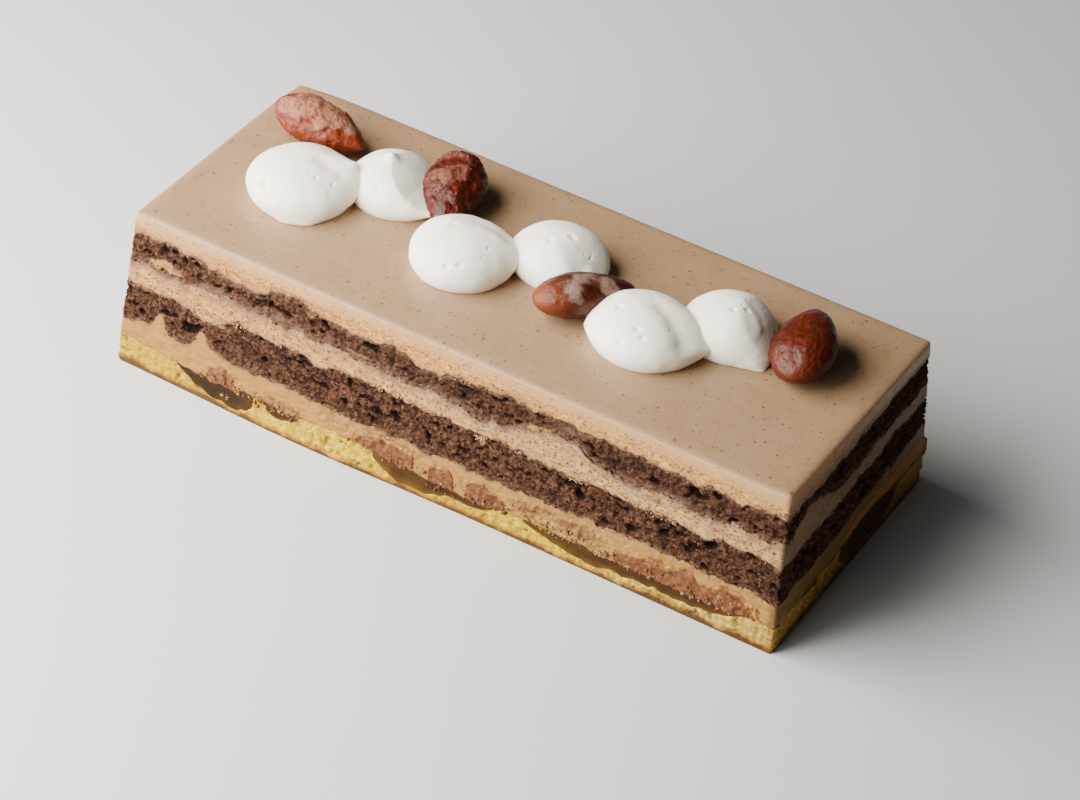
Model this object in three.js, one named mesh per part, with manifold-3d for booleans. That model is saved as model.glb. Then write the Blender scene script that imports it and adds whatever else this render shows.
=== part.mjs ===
// A bar of layered apple cake, cut from a larger slab. Millimetres, +Z up. The origin is in the
// middle of the underside, X runs along the bar and -Y faces the long cut side that is shown.
//
// From below: yellow almond sponge with cooked apple set into it, lower cream with praline pieces,
// lower chocolate sponge, middle cream, upper chocolate sponge, top cream and a poured glaze.
// Six piped dollops of cream and four sugared almonds lie along the top.
//
// Places along the bar are given from its left end, and places across it from its front, as a cook
// would measure them; place() turns them into the part's own frame.
import * as THREE from "three";
import { mergeVertices } from "three/addons/utils/BufferGeometryUtils.js";
import Module from "manifold-3d";

const manifold = await Module();
manifold.setup();

// ---- Driving dimensions -------------------------------------------------------------------------
const LENGTH = 160; // at the underside
const WIDTH = 67.4; // at the underside's corners
const HEIGHT = 38.5; // underside to the top of the glaze, without the toppings
const END_LEAN = 1.95; // each end leans in by this from the sponge base to the top
const SIDE_LEAN = 2.7; // each long side leans in by this
const UPRIGHT = 7.5; // the base stands upright up to here
const BELLY = 1.2; // how far the base bows out along the long sides
const BELLY_AT = 46; // the middle of that bow, from the left end
const BELLY_REACH = 30;
const BELLY_TOP = 12; // it has faded out at this height
const SPONGE_BULGE = 0.5; // crumb that stands proud half way up a cut sponge layer
const GLAZE_ROUND = 0.95; // radius of the glaze's upper edge
const CORNER_SAG = 1.1; // drop of the glaze at the back left corner
const CORNER_REACH = 9;
const SEAM = 0.2; // clearance between one layer and the next
const GAP = 0.3; // clearance round a piece that is set into its neighbour
const REST = 0.1; // clearance under the toppings
const STEPS_LONG = 26; // facets along a layer
const ROWS_ACROSS = [0, 0.18, 0.52, 1]; // rows across a layer, closer together at the front

// Boundaries between the layers, from below. A boundary lies at its level and swells up or sinks by
// `rise` round a place (from the left, from the front), over a reach along and across the bar.
const BOUNDARIES = {
  underside: { level: 0, swells: [] },
  base: {
    level: 5.7,
    swells: [
      { at: [5, 30], reach: [9, 60], rise: 1.9 },
      { at: [54.5, 30], reach: [8, 60], rise: 1.6 },
      { at: [88, 30], reach: [8, 60], rise: -1.3 },
      { at: [157, 10], reach: [7, 25], rise: 1.3 },
      { at: [160, 42], reach: [12, 17], rise: 3.6 },
      { at: [160, 66], reach: [12, 9], rise: 2.2 },
    ],
  },
  lowerCream: {
    level: 11.8,
    swells: [
      { at: [135, 0], reach: [30, 60], rise: 1.0 },
      { at: [72, 67], reach: [30, 25], rise: 0.9 },
      { at: [160, 67], reach: [30, 38], rise: 4.3 },
    ],
  },
  lowerSponge: {
    level: 21.3,
    swells: [
      { at: [20.5, 0], reach: [6, 20], rise: -1.9 },
      { at: [60, 0], reach: [14, 25], rise: 0.5 },
      { at: [160, 67], reach: [26, 34], rise: 2.4 },
    ],
  },
  middleCream: {
    level: 26.1,
    swells: [
      { at: [28, 0], reach: [22, 60], rise: 0.8 },
      { at: [106, 0], reach: [8, 18], rise: 3.4 },
      { at: [160, 12], reach: [8, 8], rise: 4.2 },
      { at: [160, 62], reach: [25, 18], rise: 1.2 },
    ],
  },
  upperSponge: {
    level: 32.8,
    swells: [
      { at: [10, 0], reach: [9, 60], rise: 0.8 },
      { at: [28, 0], reach: [8, 30], rise: -1.3 },
      { at: [40, 0], reach: [5, 30], rise: 1.4 },
      { at: [56, 0], reach: [6, 30], rise: -1.2 },
      { at: [76, 0], reach: [6, 25], rise: -2.4 },
      { at: [142, 0], reach: [20, 30], rise: -0.9 },
      { at: [160, 67], reach: [25, 30], rise: 1.5 },
    ],
  },
  topCream: { level: 35.6, swells: [] },
};

// Cream forced up into the lower chocolate sponge: place along the front, width and tip height.
const CREAM_PEAKS = [
  { at: [9.5, 1.5], wide: 4.4, tip: 16.4 },
  { at: [20.2, 1.5], wide: 6, tip: 16.2 },
];
const PEAK_FOOT = 9; // the peaks start this far up, inside the lower cream

// Cooked apple in the base and praline in the lower cream. A bar runs from one place to another and
// is `wide` half widths at its two ends, between the heights `low` and `high`.
const SIDE_TO_SIDE = [-4, WIDTH + 4]; // past both long sides, then trimmed to them
const APPLES = {
  apple_left: [{ start: 25.5, end: 31, wide: [9.9, 8], low: 1.3, high: 8 }],
  apple_small: [{ start: 42.4, end: 46, wide: [4.3, 3.4], low: 3.5, high: 8 }],
  apple_middle: [
    { start: 73, end: 79, wide: [7.8, 8.6], low: 1.4, high: 8 },
    { start: 85, end: 90, wide: [8.7, 6], low: 2.4, high: 4.1 },
  ],
  apple_right: [{ start: 127, end: 119, wide: [25.8, 15], low: 2.1, high: 8 }],
};
const END_APPLE = { across: 41, wide: 13.3, from: 165, to: 149, low: 1.2, high: 11 };
const PRALINE = {
  praline_left: [{ start: 26.5, end: 24, wide: [3.9, 4.4], low: 5, high: 10.7 }],
  praline_mid_1: [{ start: 67.5, end: 63, wide: [7.8, 6], low: 4, high: 10.9 }],
  praline_mid_2: [{ start: 81.4, end: 79, wide: [3.4, 4.2], low: 3, high: 10.4 }],
  praline_mid_3: [{ start: 92, end: 96, wide: [5, 6.4], low: 3, high: 10.5 }],
  praline_right: [{ start: 139.5, end: 143, wide: [17, 21], low: 5, high: 11.4 }],
};
const BAR_SECTIONS = 4; // sections along a bar
const BAR_SIDES = 10; // facets round it
const BAR_BOX = 0.6; // 1 is an ellipse, towards 0 is a box
const BAR_WAVE = 0.8; // how far a bar wanders sideways between its ends

// Piped dollops: middle, half sizes along and across, and height. Each is a dome that swells out
// (rise above 0) or is pressed in (below 0) round a direction: `turn` degrees round from +X and `up`
// degrees above the level. The swells are the tail it was drawn off with, its peak and its creases.
const DOLLOPS = [
  {
    at: [25.7, 29.8],
    half: [12.1, 12.0],
    tall: 10.6,
    swells: [
      { turn: 32, up: 12, reach: 26, rise: 0.13 },
      { turn: 42, up: 62, reach: 20, rise: -0.09 },
    ],
  },
  {
    at: [42.6, 40.6],
    half: [10.4, 10.0],
    tall: 10.2,
    swells: [
      { turn: 10, up: 38, reach: 34, rise: -0.26 },
      { turn: 140, up: 74, reach: 15, rise: 0.13 },
      { turn: -30, up: 12, reach: 18, rise: 0.12 },
    ],
  },
  {
    at: [66.9, 28.4],
    half: [11.5, 11.0],
    tall: 10.4,
    swells: [
      { turn: 38, up: 14, reach: 25, rise: 0.17 },
      { turn: 154, up: 62, reach: 16, rise: 0.05 },
    ],
  },
  {
    at: [83.9, 39.6],
    half: [10.9, 10.0],
    tall: 10.2,
    swells: [
      { turn: 215, up: 10, reach: 22, rise: 0.08 },
      { turn: -35, up: 52, reach: 20, rise: -0.08 },
    ],
  },
  {
    at: [110.4, 28.4],
    half: [12.0, 11.1],
    tall: 10.6,
    swells: [
      { turn: 42, up: 10, reach: 24, rise: 0.14 },
      { turn: 165, up: 50, reach: 18, rise: 0.06 },
      { turn: 62, up: 50, reach: 20, rise: -0.09 },
    ],
  },
  {
    at: [123.8, 40.0],
    half: [10.4, 9.8],
    tall: 10.3,
    swells: [
      { turn: -5, up: 38, reach: 28, rise: -0.16 },
      { turn: -20, up: -12, reach: 18, rise: 0.62 },
    ],
  },
];
const DOLLOP_TUCK = 25; // degrees: how far a dollop curls in under its widest ring
const DOLLOP_SIDES = 18;
const DOLLOP_RINGS = 6;

// Sugared almonds: middle, length, width, thickness, heading of the tip and how far the blunt end
// is raised, in degrees.
const ALMONDS = [
  { at: [18.9, 46.9], size: [23.4, 13, 8.8], heading: -6, pitch: 3, roll: -8 },
  { at: [54.6, 43.6], size: [23.6, 13.2, 9.4], heading: -68, pitch: 5, roll: 10 },
  { at: [95.2, 29.2], size: [22.4, 12.2, 9], heading: 51, pitch: 3, roll: -14 },
  { at: [140.8, 42.4], size: [23, 14, 9.2], heading: -74, pitch: 5, roll: 14 },
];
const ALMOND_SIDES = 12;
const ALMOND_RINGS = 8;
const ALMOND_FULLEST = 0.8; // below 1 moves the fullest part towards the blunt end
const ALMOND_BLUNT = 0.62; // the lower, the blunter both ends

// ---- Materials ----------------------------------------------------------------------------------
const LOOKS = {
  yellow_sponge: { color: 0xc9ad55, roughness: 0.85 },
  apple: { color: 0x85673a, roughness: 0.25 },
  praline: { color: 0xa87453, roughness: 0.8 },
  cream: { color: 0xcdb08d, roughness: 0.6 },
  chocolate_sponge: { color: 0x51372b, roughness: 0.9 },
  glaze: { color: 0xc9ad94, roughness: 0.25 },
  white_cream: { color: 0xebe8de, roughness: 0.45 },
  almond: { color: 0x8a3f22, roughness: 0.35 },
};

function named(geometry, name, look) {
  geometry.computeVertexNormals();
  const material = new THREE.MeshStandardMaterial({ ...LOOKS[look], metalness: 0 });
  const mesh = new THREE.Mesh(geometry, material);
  mesh.name = name;
  return mesh;
}

// ---- Shells and solids --------------------------------------------------------------------------
// A shell collects points and triangles; a ring is a list of point numbers, counter-clockwise from
// above (or from outside the cap that closes it).
class Shell {
  points = [];
  faces = [];

  point(x, y, z) {
    this.points.push(x, y, z);
    return this.points.length / 3 - 1;
  }

  quad(a, b, c, d) {
    this.faces.push(a, b, c, a, c, d);
  }

  // Joins a lower ring to the one above it.
  wall(lower, upper) {
    lower.forEach((_, i) => {
      const next = (i + 1) % lower.length;
      this.quad(lower[i], lower[next], upper[next], upper[i]);
    });
  }

  // Closes a ring with a fan to one point, facing the side from which the ring runs
  // counter-clockwise, or the other one.
  fan(ring, tip, flipped = false) {
    ring.forEach((from, i) => {
      const to = ring[(i + 1) % ring.length];
      this.faces.push(...(flipped ? [to, from, tip] : [from, to, tip]));
    });
  }

  geometry() {
    const geometry = new THREE.BufferGeometry();
    geometry.setAttribute("position", new THREE.Float32BufferAttribute(this.points, 3));
    geometry.setIndex(this.faces);
    return geometry;
  }
}

function toSolid(geometry) {
  const bare = geometry.clone();
  bare.deleteAttribute("normal");
  bare.deleteAttribute("uv");
  const merged = mergeVertices(bare);
  return new manifold.Manifold(
    new manifold.Mesh({
      numProp: 3,
      vertProperties: new Float32Array(merged.attributes.position.array),
      triVerts: new Uint32Array(merged.index.array),
    }),
  );
}

function toGeometry(solid) {
  const mesh = solid.getMesh();
  const geometry = new THREE.BufferGeometry();
  geometry.setAttribute("position", new THREE.Float32BufferAttribute(mesh.vertProperties, 3));
  geometry.setIndex(Array.from(mesh.triVerts));
  return geometry;
}

const join = (solids) => solids.reduce((sum, next) => sum.add(next));

// ---- The bar's outline and its layer boundaries -------------------------------------------------
const place = (along, across) => [along - LENGTH / 2, across - WIDTH / 2];
const bell = (offset, reach) => Math.exp(-((offset / reach) ** 2));

// The point of the bar's side at a share along and across (-1 to 1) and a height, moved out by `out`.
function outlinePoint(shareX, shareY, z, out = 0) {
  const lean = Math.max(0, (z - UPRIGHT) / (HEIGHT - UPRIGHT));
  const halfLength = LENGTH / 2 - END_LEAN * lean + out;
  const x = shareX * halfLength;
  const bow = BELLY * bell(x + LENGTH / 2 - BELLY_AT, BELLY_REACH) * Math.max(0, 1 - z / BELLY_TOP);
  const halfWidth = WIDTH / 2 - SIDE_LEAN * lean + bow + out;
  return [x, shareY * halfWidth, z];
}

// Height of a boundary at a share along and across the bar.
function boundaryHeight({ level, swells }, shareX, shareY) {
  const x = (shareX * LENGTH) / 2;
  const y = (shareY * WIDTH) / 2;
  return swells.reduce((height, { at, reach, rise }) => {
    const [middleX, middleY] = place(...at);
    return height + rise * bell(x - middleX, reach[0]) * bell(y - middleY, reach[1]);
  }, level);
}

// A layer between two heights that are functions of the shares along and across. Each entry of
// `rings` is a line round the side: its share of the way up, and how far out it stands. A sheet that
// is flat has no points but its edge's.
function layerGeometry(lowerAt, upperAt, rings, topOut = 0) {
  const shell = new Shell();
  const sharesX = Array.from({ length: STEPS_LONG + 1 }, (_, i) => (2 * i) / STEPS_LONG - 1);
  const sharesY = ROWS_ACROSS.map((share) => 2 * share - 1);
  const [lastX, lastY] = [sharesX.length - 1, sharesY.length - 1];
  const edge = [
    ...sharesX.slice(1).map((_, i) => [i, 0]),
    ...sharesY.slice(1).map((_, j) => [lastX, j]),
    ...sharesX.slice(1).map((_, i) => [lastX - i, lastY]),
    ...sharesY.slice(1).map((_, j) => [0, lastY - j]),
  ];
  const pointAt = ([i, j], heightAt, out) => {
    const shares = [sharesX[i], sharesY[j]];
    return shell.point(...outlinePoint(...shares, heightAt(...shares), out));
  };

  // Adds a sheet and returns the ring of points round its edge.
  const sheet = (heightAt, out, facesUp) => {
    const middle = heightAt(0, 0);
    if (sharesX.every((sx) => sharesY.every((sy) => heightAt(sx, sy) === middle))) {
      const ring = edge.map((cell) => pointAt(cell, heightAt, out));
      shell.fan(ring, shell.point(0, 0, middle), !facesUp);
      return ring;
    }
    const grid = sharesX.map((_, i) => sharesY.map((_row, j) => pointAt([i, j], heightAt, out)));
    grid.slice(1).forEach((column, i) =>
      column.slice(1).forEach((corner, j) => {
        const [a, b, c, d] = [grid[i][j], column[j], corner, grid[i][j + 1]];
        shell.quad(...(facesUp ? [a, b, c, d] : [a, d, c, b]));
      }),
    );
    return edge.map(([i, j]) => grid[i][j]);
  };

  const foot = sheet(lowerAt, 0, false);
  const lines = rings.map(({ up, out }) => {
    const heightAt = (sx, sy) => THREE.MathUtils.lerp(lowerAt(sx, sy), upperAt(sx, sy), up);
    return edge.map((cell) => pointAt(cell, heightAt, out));
  });
  const stack = [foot, ...lines, sheet(upperAt, topOut, true)];
  stack.slice(1).forEach((ring, k) => shell.wall(stack[k], ring));
  return shell.geometry();
}

// A layer between two named boundaries, with half a seam left off at each. A cut sponge's side
// bulges half way up.
function layer(lowerName, upperName, bulge = 0) {
  const lift = lowerName === "underside" ? 0 : SEAM / 2;
  return layerGeometry(
    (sx, sy) => boundaryHeight(BOUNDARIES[lowerName], sx, sy) + lift,
    (sx, sy) => boundaryHeight(BOUNDARIES[upperName], sx, sy) - SEAM / 2,
    bulge ? [{ up: 0.5, out: bulge }] : [],
  );
}

// The poured glaze: upright sides that swell a little, a rounded upper edge and a sagging corner.
function glaze() {
  const underGlaze = BOUNDARIES.topCream.level + SEAM / 2;
  const top = (sx, sy) => {
    const corner = bell((sx + 1) * (LENGTH / 2), CORNER_REACH) * bell((sy - 1) * (WIDTH / 2), CORNER_REACH);
    return HEIGHT - CORNER_SAG * corner;
  };
  const thick = HEIGHT - underGlaze;
  const roundFrom = 1 - GLAZE_ROUND / thick;
  const turns = [0, 30, 60].map((degrees) => THREE.MathUtils.degToRad(degrees));
  const rings = turns.map((turn) => ({
    up: roundFrom + (Math.sin(turn) * GLAZE_ROUND) / thick,
    out: (Math.cos(turn) - 1) * GLAZE_ROUND,
  }));
  return layerGeometry(() => underGlaze, top, rings, -GLAZE_ROUND);
}

// ---- Pieces set into the layers -----------------------------------------------------------------
// A bar with a boxy oval section. `sectionAt` gives, at a share along it, its middle [x, y], the
// half width, and the lowest and highest level; `side` is the direction of its width.
function barGeometry(sectionAt, side) {
  const shell = new Shell();
  const boxy = (value) => Math.sign(value) * Math.abs(value) ** BAR_BOX;
  const turn = (i) => (2 * Math.PI * i) / BAR_SIDES;
  const sections = Array.from({ length: BAR_SECTIONS + 1 }, (_, k) => {
    const { middle, wide, low, high } = sectionAt(k / BAR_SECTIONS);
    const ring = Array.from({ length: BAR_SIDES }, (_unused, i) => {
      const aside = wide * boxy(Math.cos(turn(i)));
      const z = (low + high) / 2 + ((high - low) / 2) * boxy(Math.sin(turn(i)));
      return shell.point(middle[0] + side[0] * aside, middle[1] + side[1] * aside, z);
    });
    return { ring, tip: shell.point(middle[0], middle[1], (low + high) / 2) };
  });
  sections.slice(1).forEach(({ ring }, k) => shell.wall(sections[k].ring, ring));
  shell.fan(sections[0].ring, sections[0].tip, true);
  shell.fan(sections[BAR_SECTIONS].ring, sections[BAR_SECTIONS].tip);
  return shell.geometry();
}

// A bar across the cake, from the front side to the back one, grown by `grow` all round.
function crossBar({ start, end, wide, low, high }, grow) {
  const sectionAt = (share) => {
    const wander = BAR_WAVE * Math.sin(2 * Math.PI * share);
    const along = THREE.MathUtils.lerp(start, end, share) + wander;
    const across = THREE.MathUtils.lerp(...SIDE_TO_SIDE, share);
    return {
      middle: place(along, across),
      wide: THREE.MathUtils.lerp(...wide, share) + grow,
      low: low - grow,
      high: high + grow,
    };
  };
  return toSolid(barGeometry(sectionAt, [-1, 0]));
}

// A piece that shows at the right end and narrows to a blunt point inside the cake.
function endBar({ across, wide, from, to, low, high }, grow) {
  const sectionAt = (share) => {
    const keep = Math.sqrt(1 - 0.8 * share ** 2);
    const middle = (low + high) / 2;
    return {
      middle: place(THREE.MathUtils.lerp(from, to - grow, share), across),
      wide: wide * keep + grow,
      low: middle - (middle - low) * keep - grow,
      high: middle + (high - middle) * keep + grow,
    };
  };
  return toSolid(barGeometry(sectionAt, [0, -1]));
}

// Cuts pockets for the pieces into a layer. Returns the layer and each piece, trimmed to it.
function setInto(host, pieces) {
  const trimmed = pieces.map(({ name, make }) => ({ name, solid: make(0).intersect(host) }));
  const pockets = join(pieces.map(({ make }) => make(GAP)));
  return { host: host.subtract(pockets), pieces: trimmed };
}

const crossPieces = (barsByName) =>
  Object.entries(barsByName).map(([name, bars]) => ({
    name,
    make: (grow) => join(bars.map((bar) => crossBar(bar, grow))),
  }));
const endApple = { name: "apple_end", make: (grow) => endBar(END_APPLE, grow) };

// A peak of cream that stands up into the sponge above it.
function peak({ at, wide, tip }, grow) {
  const tall = tip - PEAK_FOOT + 2 * grow;
  const cone = new THREE.ConeGeometry(wide / 2 + grow, tall, 10);
  cone.rotateX(Math.PI / 2);
  const [x, y] = place(...at);
  cone.translate(x, y, PEAK_FOOT + tall / 2);
  return toSolid(cone);
}

// ---- Toppings -----------------------------------------------------------------------------------
// A direction `turn` round and `up` above the level, both in radians, as a unit vector.
const direction = (turn, up) =>
  new THREE.Vector3(Math.cos(up) * Math.cos(turn), Math.cos(up) * Math.sin(turn), Math.sin(up));

// A dollop: rings from its flat foot, past the widest one, to the top. The height has its middle
// where the dome is widest, and each swell moves the surface in or out along its direction.
function dollopGeometry({ half, tall, swells }) {
  const shell = new Shell();
  const tuck = THREE.MathUtils.degToRad(DOLLOP_TUCK);
  const domeHeight = tall / (1 + Math.sin(tuck));
  const lumps = swells.map(({ turn, up, reach, rise }) => ({
    towards: direction(...[turn, up].map(THREE.MathUtils.degToRad)),
    reach: THREE.MathUtils.degToRad(reach),
    rise,
  }));
  const surface = (turn, up) => {
    const out = direction(turn, up);
    const size = lumps.reduce(
      (sum, { towards, reach, rise }) => sum + rise * bell(out.angleTo(towards), reach),
      1,
    );
    const z = up > -tuck ? domeHeight * (Math.sin(tuck) + out.z * size) : 0;
    return shell.point(half[0] * out.x * size, half[1] * out.y * size, z);
  };
  const rings = Array.from({ length: DOLLOP_RINGS }, (_, k) => {
    const up = -tuck + ((Math.PI / 2 + tuck) * k) / DOLLOP_RINGS;
    return Array.from({ length: DOLLOP_SIDES }, (_unused, i) =>
      surface((2 * Math.PI * i) / DOLLOP_SIDES, up),
    );
  });
  rings.slice(1).forEach((ring, k) => shell.wall(rings[k], ring));
  shell.fan(rings[0], shell.point(0, 0, 0), true);
  shell.fan(rings[DOLLOP_RINGS - 1], surface(0, Math.PI / 2));
  return shell.geometry();
}

// An almond along +X, blunt end first, its middle at the origin. Its sections are ovals whose size
// follows a sine that is drawn towards the blunt end.
function almondGeometry([long, wide, thick]) {
  const shell = new Shell();
  const rings = Array.from({ length: ALMOND_RINGS - 1 }, (_, k) => {
    const share = (1 - Math.cos((Math.PI * (k + 1)) / ALMOND_RINGS)) / 2;
    const full = Math.sin(Math.PI * share ** ALMOND_FULLEST) ** ALMOND_BLUNT;
    return Array.from({ length: ALMOND_SIDES }, (_unused, i) => {
      const turn = (2 * Math.PI * i) / ALMOND_SIDES;
      const y = (wide / 2) * full * Math.cos(turn);
      const z = (thick / 2) * full * Math.sin(turn);
      return shell.point(long * (share - 0.5), y, z);
    });
  });
  rings.slice(1).forEach((ring, k) => shell.wall(rings[k], ring));
  shell.fan(rings[0], shell.point(-long / 2, 0, 0), true);
  shell.fan(rings[rings.length - 1], shell.point(long / 2, 0, 0));
  return shell.geometry();
}

// Lays an almond on the glaze, turned, pitched and rolled, on its lowest point.
function laidAlmond({ at, size, heading, pitch, roll }, name) {
  const mesh = named(almondGeometry(size), name, "almond");
  const [turn, tilt, tip] = [heading, pitch, roll].map(THREE.MathUtils.degToRad);
  mesh.rotation.set(tip, tilt, turn, "ZYX");
  mesh.updateMatrix();
  const turned = mesh.geometry.clone().applyMatrix4(mesh.matrix);
  turned.computeBoundingBox();
  const [x, y] = place(...at);
  mesh.position.set(x, y, HEIGHT + REST - turned.boundingBox.min.z);
  mesh.updateMatrix();
  return mesh;
}

// The almond's shape grown by the gap, in the cake's frame, to press its bed into the cream.
function almondBed(sizes, mesh) {
  const grown = almondGeometry(sizes.size.map((measure) => measure + 2 * GAP));
  return toSolid(grown.applyMatrix4(mesh.matrix));
}

// ---- The cake -----------------------------------------------------------------------------------
const cake = new THREE.Group();
cake.name = "apple_cake";

const base = setInto(toSolid(layer("underside", "base")), [...crossPieces(APPLES), endApple]);
cake.add(named(toGeometry(base.host), "base_sponge", "yellow_sponge"));
base.pieces.forEach(({ name, solid }) => cake.add(named(toGeometry(solid), name, "apple")));

const underMiddle = toSolid(layer("base", "lowerSponge"));
const peaks = join(CREAM_PEAKS.map((size) => peak(size, 0))).intersect(underMiddle);
const peakHoles = join(CREAM_PEAKS.map((size) => peak(size, GAP)));
const creamWithPeaks = toSolid(layer("base", "lowerCream")).add(peaks);
const lower = setInto(creamWithPeaks, crossPieces(PRALINE));
cake.add(named(toGeometry(lower.host), "lower_cream", "cream"));
lower.pieces.forEach(({ name, solid }) => cake.add(named(toGeometry(solid), name, "praline")));

const lowerSponge = toSolid(layer("lowerCream", "lowerSponge", SPONGE_BULGE)).subtract(peakHoles);
cake.add(named(toGeometry(lowerSponge), "lower_chocolate_sponge", "chocolate_sponge"));
cake.add(named(layer("lowerSponge", "middleCream"), "middle_cream", "cream"));
cake.add(
  named(layer("middleCream", "upperSponge", SPONGE_BULGE), "upper_chocolate_sponge", "chocolate_sponge"),
);
cake.add(named(layer("upperSponge", "topCream"), "top_cream", "cream"));
cake.add(named(glaze(), "glaze", "glaze"));

const almonds = ALMONDS.map((sizes, i) => laidAlmond(sizes, `almond_${i + 1}`));
const beds = join(ALMONDS.map((sizes, i) => almondBed(sizes, almonds[i])));

// Each dollop makes room for the almonds and for the dollop that was piped before it in its pair.
DOLLOPS.forEach((sizes, i) => {
  const [x, y] = place(...sizes.at);
  const atPlace = (geometry) => toSolid(geometry.translate(x, y, HEIGHT + REST));
  let solid = atPlace(dollopGeometry(sizes)).subtract(beds);
  if (i % 2 === 1) {
    const first = DOLLOPS[i - 1];
    const grown = { ...first, half: first.half.map((half) => half + GAP), tall: first.tall + GAP };
    const [firstX, firstY] = place(...first.at);
    solid = solid.subtract(toSolid(dollopGeometry(grown).translate(firstX, firstY, HEIGHT)));
  }
  const mesh = named(toGeometry(solid).translate(-x, -y, -HEIGHT), `dollop_${i + 1}`, "white_cream");
  mesh.position.set(x, y, HEIGHT);
  cake.add(mesh);
});
cake.add(...almonds);

export default cake;
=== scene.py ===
"""The looks of a bar of layered apple cake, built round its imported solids.

Lengths in this script are millimetres until a mesh or a light is made. Places along the bar are
measured from its left end and places across it from its front, as in its plan; the frame's own
origin is in the middle of the underside.
"""

import itertools
import math

import bpy
import numpy as np
from mathutils import Matrix, Vector


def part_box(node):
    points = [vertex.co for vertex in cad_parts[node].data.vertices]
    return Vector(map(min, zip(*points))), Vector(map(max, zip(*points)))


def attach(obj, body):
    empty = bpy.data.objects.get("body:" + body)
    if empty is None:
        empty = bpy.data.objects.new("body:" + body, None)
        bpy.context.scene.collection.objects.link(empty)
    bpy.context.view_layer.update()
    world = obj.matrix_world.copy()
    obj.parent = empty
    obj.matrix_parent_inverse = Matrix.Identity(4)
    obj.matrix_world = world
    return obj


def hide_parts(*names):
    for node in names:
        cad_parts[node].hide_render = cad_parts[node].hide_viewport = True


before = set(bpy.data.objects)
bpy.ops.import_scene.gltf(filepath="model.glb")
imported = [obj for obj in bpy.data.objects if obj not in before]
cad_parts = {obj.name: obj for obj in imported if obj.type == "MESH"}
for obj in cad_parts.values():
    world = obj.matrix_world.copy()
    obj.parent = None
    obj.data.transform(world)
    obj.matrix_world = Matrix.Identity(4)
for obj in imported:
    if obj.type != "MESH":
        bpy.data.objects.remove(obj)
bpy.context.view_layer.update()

MM = 0.001

# ---- The bar's own sizes ------------------------------------------------------------------------
BASE_BOX, GLAZE_BOX = (np.array(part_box(node)) / MM for node in ("base_sponge", "glaze"))
LENGTH = float(BASE_BOX[1][0] - BASE_BOX[0][0])
HEIGHT = float(GLAZE_BOX[1][2])
WIDTH = 67.4  # at the underside's corners
PLAN = np.array([LENGTH, WIDTH])
END_LEAN = 1.95  # each end leans in by this between the base and the top
SIDE_LEAN = 2.7  # each long side leans in by this
UPRIGHT = 7.5  # the base stands upright up to here
BELLY, BELLY_AT, BELLY_REACH, BELLY_TOP = 1.2, 46, 30, 12  # the base's bow along the long sides
CORNER_ROUND = 0.7  # radius of the upright edges
RIM_ROUND, RIM_FALL, RIM_REACH = 0.45, 0.42, 1.1  # the glaze's rim: radius, and its fall to it
CORNER_SAG, CORNER_REACH = 1.1, 9  # the glaze's drop at the back left corner
CAP_SPACING, SIDE_ROWS = 0.45, 11  # between points of the glaze, and rows up its side
OVERLAP, TUCK_IN = 0.55, 0.03  # how far the glaze's side hangs over the cream, and its foot lies in it
RECESS = 1.7  # how far a layer's side stands back behind what is set into it
INSET_WAVE = 0.8  # how far a set-in piece wanders along the bar on its way through it
INSET_SPACING, INSET_ROW = 0.25, 0.27  # between its points along the bar, and up its face

# Boundaries between the layers: level, raggedness, then swells, each with its place along and
# across, its reach along and across, and its rise.
BOUNDARIES = {
    "underside": (0, 0, []),
    "base": (5.7, 0.3, [
        (5, 30, 9, 60, 1.9), (54.5, 30, 8, 60, 1.6), (88, 30, 8, 60, -1.3), (157, 10, 7, 25, 1.3),
        (160, 42, 12, 17, 3.6), (160, 66, 12, 9, 2.2), (33, 0, 2.5, 8, 0.8),
    ]),
    "lowerCream": (11.8, 0.5, [
        (135, 0, 30, 60, 1), (72, 67, 30, 25, 0.9), (160, 67, 30, 38, 4.3), (9.7, 0, 1.5, 6, 4.6),
        (20.3, 0, 2, 6, 4.5), (24, 0, 2.4, 6, 0.8),
    ]),
    "lowerSponge": (21.3, 0.5, [
        (20.5, 0, 6, 20, -1.9), (60, 0, 14, 25, 0.5), (160, 67, 26, 34, 2.4), (28, 0, 2, 8, 1.2),
        (49, 0, 2, 8, -0.9), (141, 0, 3, 8, -0.8),
    ]),
    "middleCream": (26.1, 0.55, [
        (28, 0, 22, 60, 0.8), (106, 0, 8, 18, 3.4), (160, 12, 8, 8, 4.2), (160, 62, 25, 18, 1.2),
        (112, 0, 3, 8, 0.8), (90, 0, 6, 12, -0.7),
    ]),
    "upperSponge": (32.8, 0.6, [
        (10, 0, 9, 60, 0.8), (28, 0, 8, 30, -1.3), (40, 0, 5, 30, 1.4), (56, 0, 6, 30, -1.2),
        (76, 0, 6, 25, -2.4), (142, 0, 20, 30, -0.9), (160, 67, 25, 30, 1.5), (142.5, 0, 1.8, 6, 1.2),
    ]),
    "topCream": (35.6, 0, []),
}

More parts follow.
